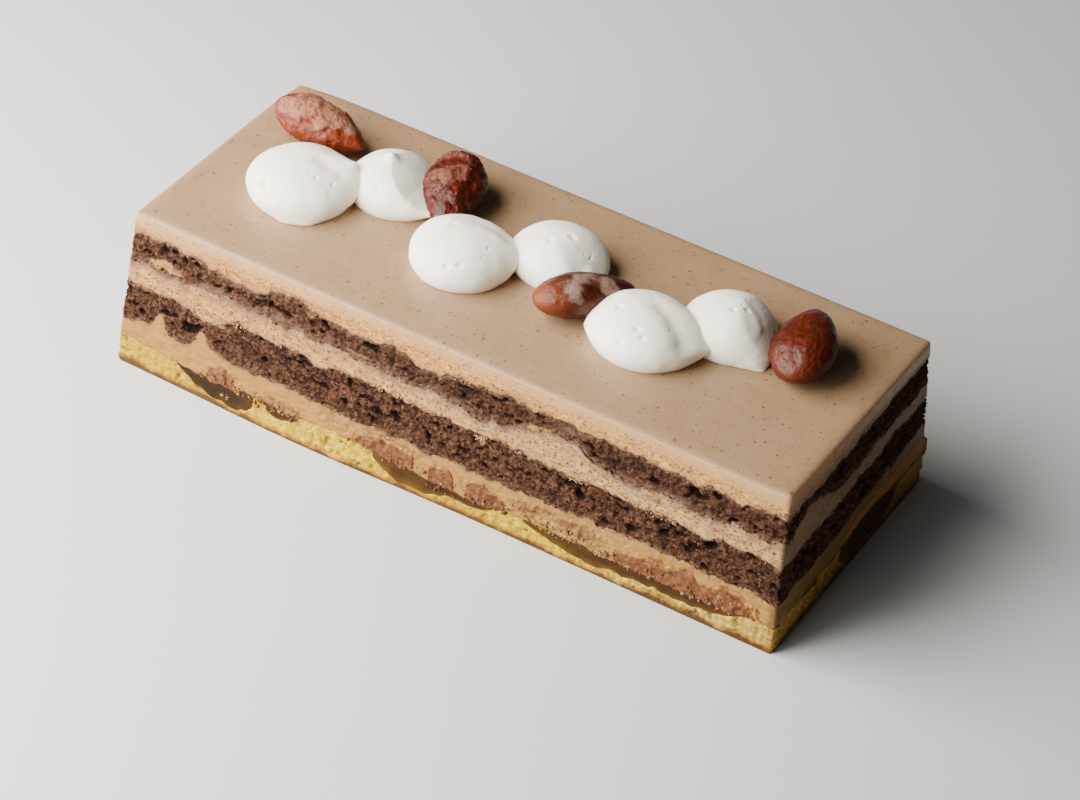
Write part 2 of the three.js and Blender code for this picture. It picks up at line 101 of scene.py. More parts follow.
# Marks at the front: place along, level, half length, half height and strength.
TORN = [  # hollows torn in the chocolate sponges, with their depth for strength
    (12.3, 32.8, 1.2, 0.6, 1.2), (18.3, 31.8, 1, 0.8, 1.5), (22.3, 32.6, 0.8, 0.6, 1.2),
    (23.8, 29, 0.8, 0.5, 1.1), (33.7, 31, 1.4, 0.7, 1.5), (39.3, 29.7, 2.8, 0.45, 1.3),
    (50, 31.3, 1.3, 0.6, 1.3), (61.3, 30.5, 1.7, 0.8, 1.5), (72.3, 31.2, 1.1, 0.7, 1.2),
    (84, 31.2, 2.4, 0.4, 1.1), (92, 31.5, 3.2, 0.4, 1.2), (101, 32.2, 1.6, 0.5, 1.1),
    (97, 28, 0.9, 0.6, 1.1), (128.6, 28, 1.2, 0.5, 1.2), (138.3, 29.8, 2.6, 0.9, 1.7),
    (142.6, 31.6, 1.5, 0.9, 1.8), (147.3, 27.5, 1.4, 1, 0.9), (11.3, 16.8, 1.3, 0.7, 1.5),
    (18, 15.9, 2.2, 1.2, 2), (20.2, 17.2, 1, 0.7, 1.6), (5.8, 14.4, 1.2, 0.8, 1.4),
    (36.2, 16.4, 1, 0.7, 1.2), (51.3, 16.2, 2.2, 0.5, 1.3), (56.4, 15, 1.2, 0.6, 1),
    (69, 17.1, 1.3, 0.7, 1.4), (77.2, 15.6, 0.8, 0.8, 1.1), (86, 15.9, 1.9, 0.4, 1.2),
    (91, 14.4, 1.6, 0.4, 1.1), (105, 20.2, 1.2, 0.5, 1.2), (113, 17.8, 1.4, 0.8, 1.3),
    (125, 15.4, 1.2, 0.6, 1), (133, 17.2, 1.4, 0.8, 1.5), (143.1, 19.5, 1.4, 1, 1.9),
]
LENSES = [  # cream that lies over the chocolate sponges
    (10.4, 28.3, 4.4, 1.25, 1), (25.7, 27.3, 1.6, 0.35, 0.9), (30, 32.7, 3.2, 0.9, 0.55),
    (47.6, 32.3, 2.4, 0.9, 0.6), (24, 19.2, 3.4, 0.5, 0.6), (70.5, 19.9, 3, 0.25, 0.5),
    (89.6, 20.4, 1, 1.2, 0.8), (111.6, 20.5, 1.4, 0.35, 0.9), (105, 28, 6.5, 1.6, 1),
    (60, 27.3, 6.5, 0.3, 0.5), (96, 13.9, 1.9, 0.8, 0.35), (58.6, 16.4, 1.2, 0.7, 0.3),
    (125, 27.3, 1.6, 0.6, 0.4),
]
VEILS = [  # thin smears of cream over the chocolate sponges
    (21.5, 27.3, 7.5, 1.4, 1), (40.5, 27.3, 6, 1.5, 1), (56, 26.9, 8, 1, 0.7),
    (80, 26.4, 5, 0.8, 0.6), (96, 26.4, 7, 0.8, 0.6), (103.5, 26.8, 4, 0.5, 0.9),
    (125, 26.6, 7, 1, 0.8), (143, 25.8, 7, 0.8, 0.6), (131, 31.6, 8, 0.7, 0.5),
    (30, 32, 5, 1.4, 0.7), (8, 33.2, 6, 0.5, 0.4), (20, 19.8, 9, 0.6, 0.5),
    (110, 31.4, 6, 1, 0.8),
]
WISPS = [  # chocolate crumb dragged over the creams
    (4.5, 26.9, 2.6, 0.9, 1), (30, 33.7, 4, 0.8, 0.7), (47.5, 33.3, 3, 0.8, 0.6),
    (20, 26, 8, 0.9, 0.9), (41, 25.7, 6, 0.8, 0.8), (60, 25.9, 8, 0.7, 0.7),
    (84, 25, 7, 0.6, 0.7), (98, 27.6, 2.2, 1.6, 0.8), (104.5, 29.2, 5, 0.8, 0.9),
    (112, 27.6, 3, 1.2, 0.8), (126, 24.8, 7, 0.6, 0.8), (145, 24.2, 7, 0.6, 0.7),
    (103.6, 26.9, 2.2, 0.35, 1), (108.5, 27.1, 2, 0.3, 0.9), (116, 26.4, 3, 0.5, 0.6),
    (76, 31.6, 3.4, 0.6, 0.4), (132, 32.3, 8, 0.5, 0.7), (24, 20.7, 4, 0.4, 0.5),
]
CRUMBLY = [  # praline and broken cream in the lower cream, rough instead of smooth
    (27, 7.8, 6.5, 1.8, 0.7), (41.5, 6.8, 8.5, 2.6, 1), (56, 9.4, 6, 1.6, 0.7),
    (68, 8.8, 10.5, 3, 0.9), (82, 7, 5, 2.4, 0.9), (92, 7.6, 8, 3, 0.9),
    (102, 8.8, 5.5, 2.4, 1), (105.5, 10.4, 4.5, 1.3, 0.9), (114, 8.8, 8.5, 2.4, 1),
    (138, 7.6, 19, 2.4, 0.9), (153, 8.5, 4.5, 2.6, 0.6),
]


# ---- Repeatable roughness -----------------------------------------------------------------------
def lattice(corners, seed):
    """A random number from -1 to 1 for each corner of a cubic lattice, always the same one.

    The three whole numbers are multiplied by large primes, summed, and their bits are mixed."""
    x, y, z = (corners[..., axis] for axis in range(3))
    mixed = (x * 374761393 + y * 668265263 + z * 1440662683 + seed * 1274126177) & 0xFFFFFFFF
    mixed = ((mixed ^ (mixed >> 13)) * 1274126177) & 0xFFFFFFFF
    mixed = ((mixed ^ (mixed >> 15)) * 2246822519) & 0xFFFFFFFF
    return (mixed ^ (mixed >> 16)) / 0x7FFFFFFF - 1


def grain(points, size, seed, octaves=1, fall=0.5):
    """Smooth randomness from -1 to 1, with lumps about `size` across (one number, or one per axis).

    Lattice numbers are joined along each axis by the curve 3t^2 - 2t^3; each further octave has
    half the size, and its height falls by `fall`."""
    total = 0.0
    for octave in range(octaves):
        scaled = points / (np.asarray(size, float) / 2**octave)
        base = np.floor(scaled).astype(np.int64)
        share = scaled - base
        share = share * share * (3 - 2 * share)
        value = 0.0
        for step in itertools.product((0, 1), repeat=3):
            weight = np.prod(np.where(step, share, 1 - share), axis=-1)
            value = value + weight * lattice(base + step, seed + octave)
        total = total + value * fall**octave
    return total


def stir(points, by, size, seed, octaves=1):
    """Points moved about smoothly by about `by` along each axis."""
    return points + by * np.stack([grain(points, size, seed + axis, octaves) for axis in range(3)], -1)


def cells(points, size, seed):
    """Distances to the nearest and second nearest of points scattered one to a lattice cell.

    Both are in shares of `size`, the cell's width (one number, or one per axis)."""
    scaled = points / np.asarray(size, float)
    base = np.floor(scaled).astype(np.int64)
    near = np.full(scaled.shape[:-1], 9.0)
    second = near.copy()
    for step in itertools.product((-1, 0, 1), repeat=3):
        corner = base + step
        centre = corner + np.stack([lattice(corner, seed + k) for k in range(3)], -1) / 2 + 0.5
        distance = np.linalg.norm(centre - scaled, axis=-1)
        second = np.minimum(second, np.maximum(near, distance))
        near = np.minimum(near, distance)
    return near, second


def granules(points, size, seed, wide=0.5):
    """1 on rounded granules of about `size`, easing to 0 in the creases between them."""
    near, second = cells(points, size, seed)
    return ease(second - near, 0.0, wide)


def bell(offset, reach):
    """A bump of height 1 that falls off as exp(-(offset / reach)^2)."""
    return np.exp(-((offset / reach) ** 2))


def ease(value, start, end):
    """0 before `start`, 1 after `end`, and 3t^2 - 2t^3 between them."""
    share = np.clip((value - start) / (end - start), 0, 1)
    return share * share * (3 - 2 * share)


def marks(points, spots, soft):
    """Strength of the strongest of some oval spots on the front, their outlines stirred by grain.

    A spot holds its strength up to its oval's edge, less `soft`, and is gone just beyond it. None
    reaches deeper than 6 mm into the bar."""
    stirred = stir(points, 0.7, 2.4, 5, octaves=2)
    along, level = stirred[..., 0] + LENGTH / 2, stirred[..., 2]
    total = np.zeros(points.shape[:-1])
    for at, at_level, half_length, half_height, strength in spots:
        reach = np.hypot((along - at) / half_length, (level - at_level) / half_height)
        total = np.maximum(total, strength * (1 - ease(reach, 1 - soft, 1.25)))
    return total * (points[..., 1] < -WIDTH / 2 + 6)


# ---- Meshes -------------------------------------------------------------------------------------
def outwards(points, faces):
    """The faces, all turned over if the volume that they enclose comes out below zero."""
    volume = 0.0
    for block in faces:
        corner = points[block]
        for k in range(1, block.shape[1] - 1):
            volume += np.sum(corner[:, 0] * np.cross(corner[:, k], corner[:, k + 1]))
    return [block[:, ::-1] for block in faces] if volume < 0 else faces


def mesh_piece(name, points, faces, traits=None, flat_fans=False):
    """Makes an object from points in millimetres and a list of face arrays of 3 or 4 corners.

    `traits` are named numbers, one for each point, that the materials read. With `flat_fans`, the
    triangles are flat and meet the smooth quads in a sharp edge."""
    mesh = bpy.data.meshes.new(name)
    points = np.asarray(points, float).reshape(-1, 3)
    corners = np.concatenate([np.ravel(block) for block in faces])
    sizes = np.concatenate([np.full(len(block), block.shape[1]) for block in faces])
    starts = np.concatenate([[0], np.cumsum(sizes)[:-1]])
    mesh.vertices.add(len(points))
    mesh.vertices.foreach_set("co", (points * MM).ravel())
    mesh.loops.add(len(corners))
    mesh.loops.foreach_set("vertex_index", corners.astype(np.int32))
    mesh.polygons.add(len(sizes))
    mesh.polygons.foreach_set("loop_start", starts.astype(np.int32))
    mesh.polygons.foreach_set("use_smooth", ~((sizes == 3) & flat_fans))
    for trait, values in (traits or {}).items():
        stored = mesh.attributes.new(trait, "FLOAT", "POINT")
        stored.data.foreach_set("value", np.ravel(values).astype(np.float32))
    mesh.update(calc_edges=True)
    piece = bpy.data.objects.new(name, mesh)
    bpy.context.scene.collection.objects.link(piece)
    return piece


def ring_faces(rings, around):
    """Quads between rings of `around` points each, numbered ring by ring."""
    ring, step = np.meshgrid(np.arange(rings - 1), np.arange(around), indexing="ij")
    here = ring * around + step
    beside = ring * around + (step + 1) % around
    return np.stack([here, beside, beside + around, here + around], -1).reshape(-1, 4)


def fan_faces(first, around, tip, upwards):
    """Triangles from a ring, whose first point has the number `first`, to a tip."""
    here = first + np.arange(around)
    beside = first + (np.arange(around) + 1) % around
    pair = (here, beside) if upwards else (beside, here)
    return np.stack([*pair, np.full(around, tip)], -1)


def loft(name, rings, tips, traits=None, flat_fans=False):
    """A closed shell through rings of points, shape (rings, around, 3), shut by a tip at each end."""
    count, around = rings.shape[:2]
    last = count * around
    faces = [
        ring_faces(count, around),
        fan_faces(0, around, last, False),
        fan_faces(last - around, around, last + 1, True),
    ]
    points = np.concatenate([rings.reshape(-1, 3), np.asarray(tips, float)])
    ends = {trait: np.concatenate([np.ravel(v), [0, 0]]) for trait, v in (traits or {}).items()}
    return mesh_piece(name, points, outwards(points, faces), ends, flat_fans)


def lumps(name, places, sizes, seed, squash=1.0):
    """Small rough lumps joined into one piece.

    Each is an octahedron with its edges split, rounded to a ball, its corners pushed in or out at
    random, stretched at random along its axes and turned by a random unit quaternion."""
    random = np.random.default_rng(seed)
    ball = np.concatenate([np.eye(3), -np.eye(3)])
    octants = [
        (x, y, z) if (x < 3) ^ (y > 3) ^ (z > 4) else (x, z, y)
        for x, y, z in itertools.product((0, 3), (1, 4), (2, 5))
    ]
    edges = sorted({tuple(sorted(pair)) for face in octants for pair in itertools.combinations(face, 2)})
    middles = {pair: 6 + number for number, pair in enumerate(edges)}
    ball = np.concatenate([ball, [(ball[a] + ball[b]) / math.sqrt(2) for a, b in edges]])
    faces = []
    for a, b, c in octants:
        ab, bc, ca = (middles[tuple(sorted(pair))] for pair in ((a, b), (b, c), (c, a)))
        faces += [(a, ab, ca), (b, bc, ab), (c, ca, bc), (ab, bc, ca)]
    count = len(places)
    shapes = ball * (1 + 0.35 * random.uniform(-1, 1, (count, len(ball), 1)))
    shapes = shapes * random.uniform(0.6, 1.35, (count, 1, 3)) * (1, 1, squash)
    w, x, y, z = np.moveaxis(random.normal(size=(count, 4)), 1, 0)
    norm = w * w + x * x + y * y + z * z
    turned = np.array(
        [
            [1 - 2 * (y * y + z * z) / norm, 2 * (x * y - w * z) / norm, 2 * (x * z + w * y) / norm],
            [2 * (x * y + w * z) / norm, 1 - 2 * (x * x + z * z) / norm, 2 * (y * z - w * x) / norm],
            [2 * (x * z - w * y) / norm, 2 * (y * z + w * x) / norm, 1 - 2 * (x * x + y * y) / norm],
        ]
    )
    points = np.einsum("nvk,jkn->nvj", shapes * np.asarray(sizes)[:, None, None], turned)
    points = points + np.asarray(places)[:, None]
    faces = outwards(ball, [np.array(faces)])[0]
    faces = faces[None] + len(ball) * np.arange(count)[:, None, None]
    tint = np.repeat(random.uniform(0, 1, count), len(ball))
    return mesh_piece(name, points, [faces.reshape(-1, 3)], {"tint": tint})


def dress(piece, recipe, slot, *nodes):
    """Gives a piece its material and ties it to the frame."""
    piece.data.materials.append(recipe.material)
    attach(piece, "root")
    if nodes:
        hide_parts(*nodes)
    return piece


# ---- The bar's sides ----------------------------------------------------------------------------
class Outline:
    """Points and outward normals round the underside, from the middle of its front left corner.

    The path is a rectangle whose corners are arcs: arc centre + radius * (cos, sin), then straight
    on to the next arc. Each side, from the middle of one arc to the next, is walked evenly."""

    def __init__(self, spacing, corner_round=CORNER_ROUND):
        quarter = np.linspace(0, np.pi / 2, 9)
        turns = np.concatenate([quarter + corner * np.pi / 2 for corner in (-1, 0, 1, 2)])
        turns = np.concatenate([turns[-5:], turns[:-4]])
        signs = np.repeat([(1, -1), (1, 1), (-1, 1), (-1, -1)], len(quarter), axis=0)
        signs = np.concatenate([signs[-5:], signs[:-4]])
        normals = np.column_stack([np.cos(turns), np.sin(turns)])
        path = signs * (PLAN / 2 - corner_round) + corner_round * normals
        travel = np.concatenate([[0], np.cumsum(np.linalg.norm(np.diff(path, axis=0), axis=1))])
        sides = np.tile(PLAN - (2 - np.pi / 2) * corner_round, 2)
        sides = sides * travel[-1] / sides.sum()
        starts = np.concatenate([[0], np.cumsum(sides)[:-1]])
        self.counts = [round(float(side) / spacing) for side in sides[:2]]
        even = np.concatenate(
            [
                start + np.linspace(0, side, count, endpoint=False)
                for start, side, count in zip(starts, sides, self.counts * 2)
            ]
        )
        self.plan, normals = (
            np.column_stack([np.interp(even, travel, line[:, axis]) for axis in (0, 1)])
            for line in (path, normals)
        )
        self.normals = normals / np.linalg.norm(normals, axis=1, keepdims=True)
        self.spacing = spacing
        self.front = self.normals[:, 1] < -0.7
        self.back = self.normals[:, 1] > 0.7
        self.right = self.normals[:, 0] > 0.7


def stand(plan, z):
    """The place of a point of the underside's plan at height z.

    The plan shrinks in step with the sides' lean above the base, and widens by the base's bow,
    which is a bell along the bar that fades with height."""
    lean = np.clip((z - UPRIGHT) / (HEIGHT - UPRIGHT), 0, 1)
    fade = np.clip(1 - z / BELLY_TOP, 0, 1)
    bow = BELLY * bell(plan[..., 0] + LENGTH / 2 - BELLY_AT, BELLY_REACH) * fade
    x = plan[..., 0] * (1 - 2 * END_LEAN * lean / LENGTH)
    y = plan[..., 1] * (1 + 2 * (bow - SIDE_LEAN * lean) / WIDTH)
    return np.stack(np.broadcast_arrays(x, y, z), -1)


def boundary(name, plan):
    """Height of a boundary over a place in plan: its level, its swells and its ragged grain."""
    level, ragged, swells = BOUNDARIES[name]
    along, across = (plan + PLAN / 2)[..., 0], (plan + PLAN / 2)[..., 1]
    height = np.full(along.shape, float(level))
    for at_along, at_across, reach_along, reach_across, rise in swells:
        height += rise * bell(along - at_along, reach_along) * bell(across - at_across, reach_across)
    if ragged:
        spots = np.stack([along, across, np.zeros_like(along)], -1)
        seed = 10 * list(BOUNDARIES).index(name)
        height += ragged * grain(spots, 3.4, seed, octaves=4, fall=0.62)
    return height


FINE = Outline(0.25)  # for the chocolate sponges
PLAIN = Outline(0.3)  # for the other layers


# ---- Pieces set into the layers -----------------------------------------------------------------
class Inset:
    """A piece that is set into a layer and shows at a cut side.

    `front` is its span along the side where it shows and `back` its span at the far end; it hangs
    from the base's boundary or stands on it, and its thickness is given at shares of its span. Its
    face sinks towards its free outline over the distance `soft`."""

    def __init__(self, front, back, thick, hangs=True, side="front", depth=WIDTH, soft=0.4):
        self.front, self.back, self.soft = front, back, soft
        self.shares, self.sizes = zip(*thick)
        self.hangs, self.side, self.depth = hangs, side, depth

    def plan(self, share, deep):
        """Place in plan at a share of the span and of the depth, both from 0 to 1."""
        start, end = (self.front[k] + (self.back[k] - self.front[k]) * deep for k in (0, 1))
        along = start + (end - start) * share + INSET_WAVE * np.sin(2 * np.pi * deep)
        if self.side == "front":
            return np.stack(np.broadcast_arrays(along, deep * self.depth), -1) - PLAN / 2
        return np.stack(np.broadcast_arrays(LENGTH - deep * self.depth, along), -1) - PLAN / 2

    def levels(self, share, plan):
        """Its lowest and highest level.

        The given thicknesses are joined by straight lines, made uneven by grain, and rounded off
        towards both ends by (1 - (2 share - 1)^6)^0.5."""
        line = boundary("base", plan)
        rounded = np.sqrt(np.clip(1 - np.abs(2 * share - 1) ** 6, 0.003, 1))
        thick = np.interp(share, self.shares, self.sizes) * rounded
        spots = np.concatenate([plan, np.zeros(plan.shape[:-1] + (1,))], -1)
        size, uneven = (6.0, 0.07) if self.hangs else (2.6, 0.16)
        thick = thick * (1 + uneven * grain(spots, size, 201, 3))
        return (np.maximum(line - thick, 0.9), line) if self.hangs else (line, line + thick)

    def inner(self, along, span, z, low, high):
        """Distance in from the free outline: from both ends and the loose long edge."""
        ends = np.minimum(along - span[0], span[1] - along)
        return np.minimum(ends, z - low if self.hangs else high - z)

    def recess(self, outline, z):
        """How far the host's side stands back, 0 to 1, so that the piece has its place there."""
        sides = [(outline.front, self.front, 0), (outline.back, self.back, 0)]
        if self.side == "right":
            sides = [(outline.right, self.front, 1)]
        hollow = np.zeros(z.shape)
        for here, span, axis in sides:
            along = (outline.plan + PLAN / 2)[:, axis]
            share = np.clip((along - span[0]) / (span[1] - span[0]), 0, 1)
            inner = self.inner(along, span, z, *self.levels(share, outline.plan))
            hollow = np.maximum(hollow, ease(inner, self.soft, self.soft + 0.4) * here)
        return hollow

    def shell(self, name, relief):
        """Its closed surface: at each share of the span a loop up the shown face, back along the
        top, down the far face and forward along the underside."""
        width = self.front[1] - self.front[0]
        share = (1 - np.cos(np.linspace(0, np.pi, round(width / INSET_SPACING))[1:-1])) / 2
        rows = round(max(self.sizes) / INSET_ROW) + 3
        up, run = np.linspace(0, 1, rows), np.linspace(0, 1, 24)[1:-1]
        level = np.concatenate([up, np.ones_like(run), up[::-1], np.zeros_like(run)])
        deep = np.concatenate([np.zeros(rows), run, np.ones(rows), run[::-1]])
        plan = self.plan(share[:, None], deep[None, :])
        low, high = self.levels(share[:, None], plan)
        z = low + (high - low) * level
        points = stand(plan, z)
        offset, traits = relief(points)
        from_edge = self.inner(width * share[:, None], (0, width), z, low, high)
        offset = offset - 0.5 * (1 - ease(from_edge, 0, self.soft))
        shown = (deep == 0) * 1.0 - (deep == 1)
        axis, sign = (1, -1) if self.side == "front" else (0, 1)
        points[..., axis] += sign * shown * offset
        end = stand(PLAN / 2, z)[..., 0] + 0.1 + 0.25 * offset
        points[..., 0] = np.minimum(points[..., 0], end)
        tips = [points[0].mean(0), points[-1].mean(0)]
        traits["up"] = np.broadcast_to(level, z.shape)
        traits["run"] = np.broadcast_to(share[:, None], z.shape)
        return loft(name, points, tips, traits)


APPLES = {
    "apple_left": Inset((15, 35.3), (23, 39), [(0, 1), (0.35, 3.6), (0.75, 4.9), (1, 5.6)]),
    "apple_small": Inset((38, 46.7), (42.6, 49.4), [(0, 2.2), (0.5, 2.3), (1, 1.4)]),
    "apple_middle": Inset(
        (64.6, 94.6), (70.4, 96), [(0, 3.2), (0.2, 4.6), (0.45, 4.3), (0.6, 2.4), (1, 1.4)]
    ),
    "apple_right": Inset(
        (101, 153), (104, 134), [(0, 1.8), (0.1, 2.6), (0.3, 4), (0.42, 3), (0.8, 2.8), (1, 1.4)]
    ),
    "apple_end": Inset(
        (27.8, 54.5), (32, 50), [(0, 6.6), (0.3, 8), (0.7, 8), (1, 6)], side="right", depth=11
    ),
}
PRALINES = {
    name: Inset(front, back, thick, hangs=False, soft=soft)
    for name, front, back, thick, soft in (
        ("praline_left", (22.6, 30.3), (19.6, 28.4), [(0, 3.4), (0.5, 5), (1, 4)], 0.9),
        ("praline_mid_1", (59.9, 75.3), (57, 69), [(0, 2.8), (0.4, 4.8), (1, 5)], 0.9),
        ("praline_mid_2", (78, 84.8), (74.8, 83.2), [(0, 4.2), (0.5, 5), (1, 4.6)], 0.5),
        ("praline_mid_3", (87, 97.4), (89.6, 102.4), [(0, 5.6), (0.5, 5.4), (1, 4.2)], 0.9),
        ("praline_right", (121, 156.6), (122, 164), [(0, 4.4), (0.4, 6.2), (1, 5.4)], 1.0),
    )
}


# ---- Reliefs of the cut sides -------------------------------------------------------------------
# Each takes points and gives how far they stand out, and the traits that the materials read.
# The trait deep, how far a point lies below the surface, darkens recesses as painted shade.
def chocolate_relief(points):
    """Torn crumb: rounded lumps with sharp creases between them, granules, pores and hollows.

    Lumps follow the size of stirred grain, which is sharp where it crosses 0; granules follow the
    difference of the two nearest cell distances; pores open where a coarser grain is high."""
    stirred = stir(points, 0.5, 1.3, 301)
    lump = np.abs(grain(stirred, (1.7, 1.7, 1.2), 311)) * 0.5
    lump += np.abs(grain(stirred, (0.8, 0.8, 0.65), 313)) * 0.42
    grit = 0.2 * granules(stirred, (0.8, 0.8, 0.65), 317)
    pores = 0.75 * ease(grain(stirred, (1.9, 1.9, 1.0), 331, octaves=2), 0.4, 0.85)
    torn = marks(points, TORN, 0.9) * 1.1
    lens, veil = marks(points, LENSES, 0.35), marks(points, VEILS, 0.8)
    height = lump + grit - pores - torn - 0.55 + 0.15 * grain(points, 6.0, 337)
    height = height * (1 - 0.6 * np.maximum(lens, 0.7 * veil))
    return height, {"deep": np.clip(-height - 0.15, 0, 2), "lens": lens, "veil": veil}


def yellow_relief(points):
    """Finer, softer crumb; it closes towards the baked underside."""
    stirred = stir(points, 0.5, 1.5, 401)
    lump = np.abs(grain(stirred, (1.6, 1.6, 1.3), 403)) * 0.5
    grit = 0.15 * granules(stirred, (0.85, 0.85, 0.75), 41)
    pores = 0.6 * ease(grain(stirred, (1.5, 1.5, 1.1), 409, octaves=2), 0.5, 0.9)
    open_crumb = ease(points[..., 2], 0.7, 1.8)
    height = open_crumb * (lump + grit - pores - 0.25) + 0.12 * grain(points, 1.4, 47, octaves=2)
    return height + 0.25 * grain(points, 7.0, 49), {"deep": np.clip(-height, 0, 2)}


def cream_relief(points):
    """A knife's smooth drag: long shallow streaks, a slow swell and a few broken bubbles.

    Where nuts and sugar are mixed in, lumps follow the size of stirred grain."""
    streaks = 0.1 * grain(points, (7.0, 7.0, 1.1), 53, octaves=2)
    bubble, _ = cells(points, 2.3, 59)
    height = streaks - 0.3 * (1 - ease(bubble, 0.05, 0.17)) + 0.12 * grain(points, 1.7, 61, octaves=2)
    smudge, rough = marks(points, WISPS, 0.6), marks(points, CRUMBLY, 0.6)
    lump = 0.6 * np.abs(grain(stir(points, 0.5, 1.3, 431), 1.3, 433, octaves=3, fall=0.6)) - 0.3
    height += rough * lump
    traits = {"deep": np.clip(-height, 0, 2), "smudge": smudge, "rough": rough}
    return height - 0.1 + 0.12 * smudge, traits


def praline_relief(points):
    """A paste of sugar and nuts with lumps in it and small cracks between them."""
    stirred = stir(points, 0.5, 1.4, 421)
    height = 0.22 * granules(stirred, 1.3, 67, 0.3) + 0.25 * grain(stirred, 1.6, 71, octaves=3)
    return height - 0.05, {"deep": np.clip(0.05 - height, 0, 2)}


def apple_relief(points):
    """Cut fruit: smooth, with a slow swell."""
    height = 0.02 + 0.12 * grain(points, 3.0, 73) + 0.03 * grain(points, 0.9, 79)
    return height, {"deep": np.zeros(points.shape[:-1])}


def layer_side(lower, upper, relief, outline, insets=()):
    """Points of a layer's cut side in even rows, their traits, and the mean levels of its edges.

    They move out along the outline's normal by the relief, and stand back where a piece is set in.
    The relief fades out where the side meets the glaze or rests on what is below."""
    low, high = boundary(lower, outline.plan), boundary(upper, outline.plan)
    rows = round(float(np.mean(high - low)) / outline.spacing) + 1
    z = low + (high - low) * np.linspace(0, 1, rows)[:, None]
    points = stand(outline.plan, z)
    height, traits = relief(points)
    if lower == "underside":
        height = height * ease(z, 0.0, 0.5)
    if upper == "topCream":
        height = height * ease(high - z, 0.9, 1.8)
    hollow = np.zeros(z.shape)
    for inset in insets:
        hollow = np.maximum(hollow, inset.recess(outline, z))
    height = height * (1 - hollow) - RECESS * hollow
    points[..., :2] += outline.normals * height[..., None]
    traits.update({"rise": z - low, "drop": high - z})
    return points, traits, (low.mean(), high.mean())


def layer_shell(name, points, traits, levels):
    """A layer's closed surface: its cut side, and a fan to the middle at its foot and its top."""
    return loft(name, points, [(0, 0, levels[0]), (0, 0, levels[1])], traits, True)


def glaze_shell(name):
    """The poured glaze: a low upright side whose ragged foot ends just inside the cream, a tight
    round rim, and a top that falls to the rim.

    Inside points of the top are a Coons patch of its rim: the mean of the straight blends between
    opposite edges, less the blend of the corners. They rise from it by 1 - exp(-distance / reach),
    swell by a little grain, and sag at the back left corner."""
    outline = Outline(CAP_SPACING, RIM_ROUND + 0.5)
    foot, side_top = BOUNDARIES["topCream"][0] - OVERLAP, HEIGHT - RIM_FALL - RIM_ROUND
    turns = np.radians(np.linspace(0, 70, 7)[1:])
    z = np.concatenate([np.linspace(foot, side_top, SIDE_ROWS), side_top + RIM_ROUND * np.sin(turns)])
    inset = np.concatenate([np.zeros(SIDE_ROWS), RIM_ROUND * (1 - np.cos(turns))])
    rows = np.broadcast_to(z[:, None], (len(z), len(outline.plan))).copy()
    plan = np.pad(outline.plan, ((0, 0), (0, 1)))
    rows[0] -= 0.35 * np.abs(grain(plan, 2.2, 81, octaves=3))
    side = stand(outline.plan, rows)
    side[..., :2] -= outline.normals * inset[:, None, None]
    uneven = 0.06 * (1 + grain(side, (9, 9, 2.5), 83)) * (1 - ease(side[..., 2], side_top - 1, side_top))
    proud = (1.5 * TUCK_IN + uneven) * ease(side[..., 2], foot - 0.1, foot + 0.6) - TUCK_IN
    side[..., :2] += outline.normals * proud[..., None]

    along, across = outline.counts
    around = len(outline.plan)
    rim = (len(z) - 1) * around + np.arange(around + 1) % around
    numbers = np.empty((across + 1, along + 1), int)
    numbers[0] = rim[: along + 1]
    numbers[:, -1] = rim[along : along + across + 1]
    numbers[-1] = rim[along + across : 2 * along + across + 1][::-1]
    numbers[:, 0] = rim[2 * along + across :][::-1]
    first_inside = len(z) * around + 1
    numbers[1:-1, 1:-1] = first_inside + np.arange((across - 1) * (along - 1)).reshape(across - 1, -1)
    edge = side.reshape(-1, 3)
    front, back = edge[numbers[0]], edge[numbers[-1]]
    left, right = edge[numbers[:, 0]], edge[numbers[:, -1]]
    u = np.linspace(0, 1, along + 1)[None, :, None]
    v = np.linspace(0, 1, across + 1)[:, None, None]
    top = (1 - v) * front + v * back + (1 - u) * left[:, None] + u * right[:, None]
    top -= (1 - v) * ((1 - u) * front[0] + u * front[-1]) + v * ((1 - u) * back[0] + u * back[-1])
    inside = top[1:-1, 1:-1]
    from_edge = np.minimum(np.minimum(u, 1 - u) * LENGTH, np.minimum(v, 1 - v) * WIDTH)[1:-1, 1:-1, 0]
    inside[..., 2] += (HEIGHT - z[-1]) * (1 - np.exp(-from_edge / RIM_REACH))
    inside[..., 2] += 0.09 * ease(from_edge, 0, 6) * (grain(inside, 17, 89) - 0.6)
    points = np.concatenate([edge, [(0, 0, foot)], inside.reshape(-1, 3)])
    corner = np.hypot(points[:, 0] + LENGTH / 2, points[:, 1] - WIDTH / 2)
    points[:, 2] -= CORNER_SAG * bell(corner, CORNER_REACH) * ease(points[:, 2], foot, side_top)
    square = (numbers[:-1, :-1], numbers[:-1, 1:], numbers[1:, 1:], numbers[1:, :-1])
    faces = [
        ring_faces(len(z), around),
        np.stack(square, -1).reshape(-1, 4),
        fan_faces(0, around, len(z) * around, False),
    ]
    return mesh_piece(name, points, outwards(points, faces), None, True)


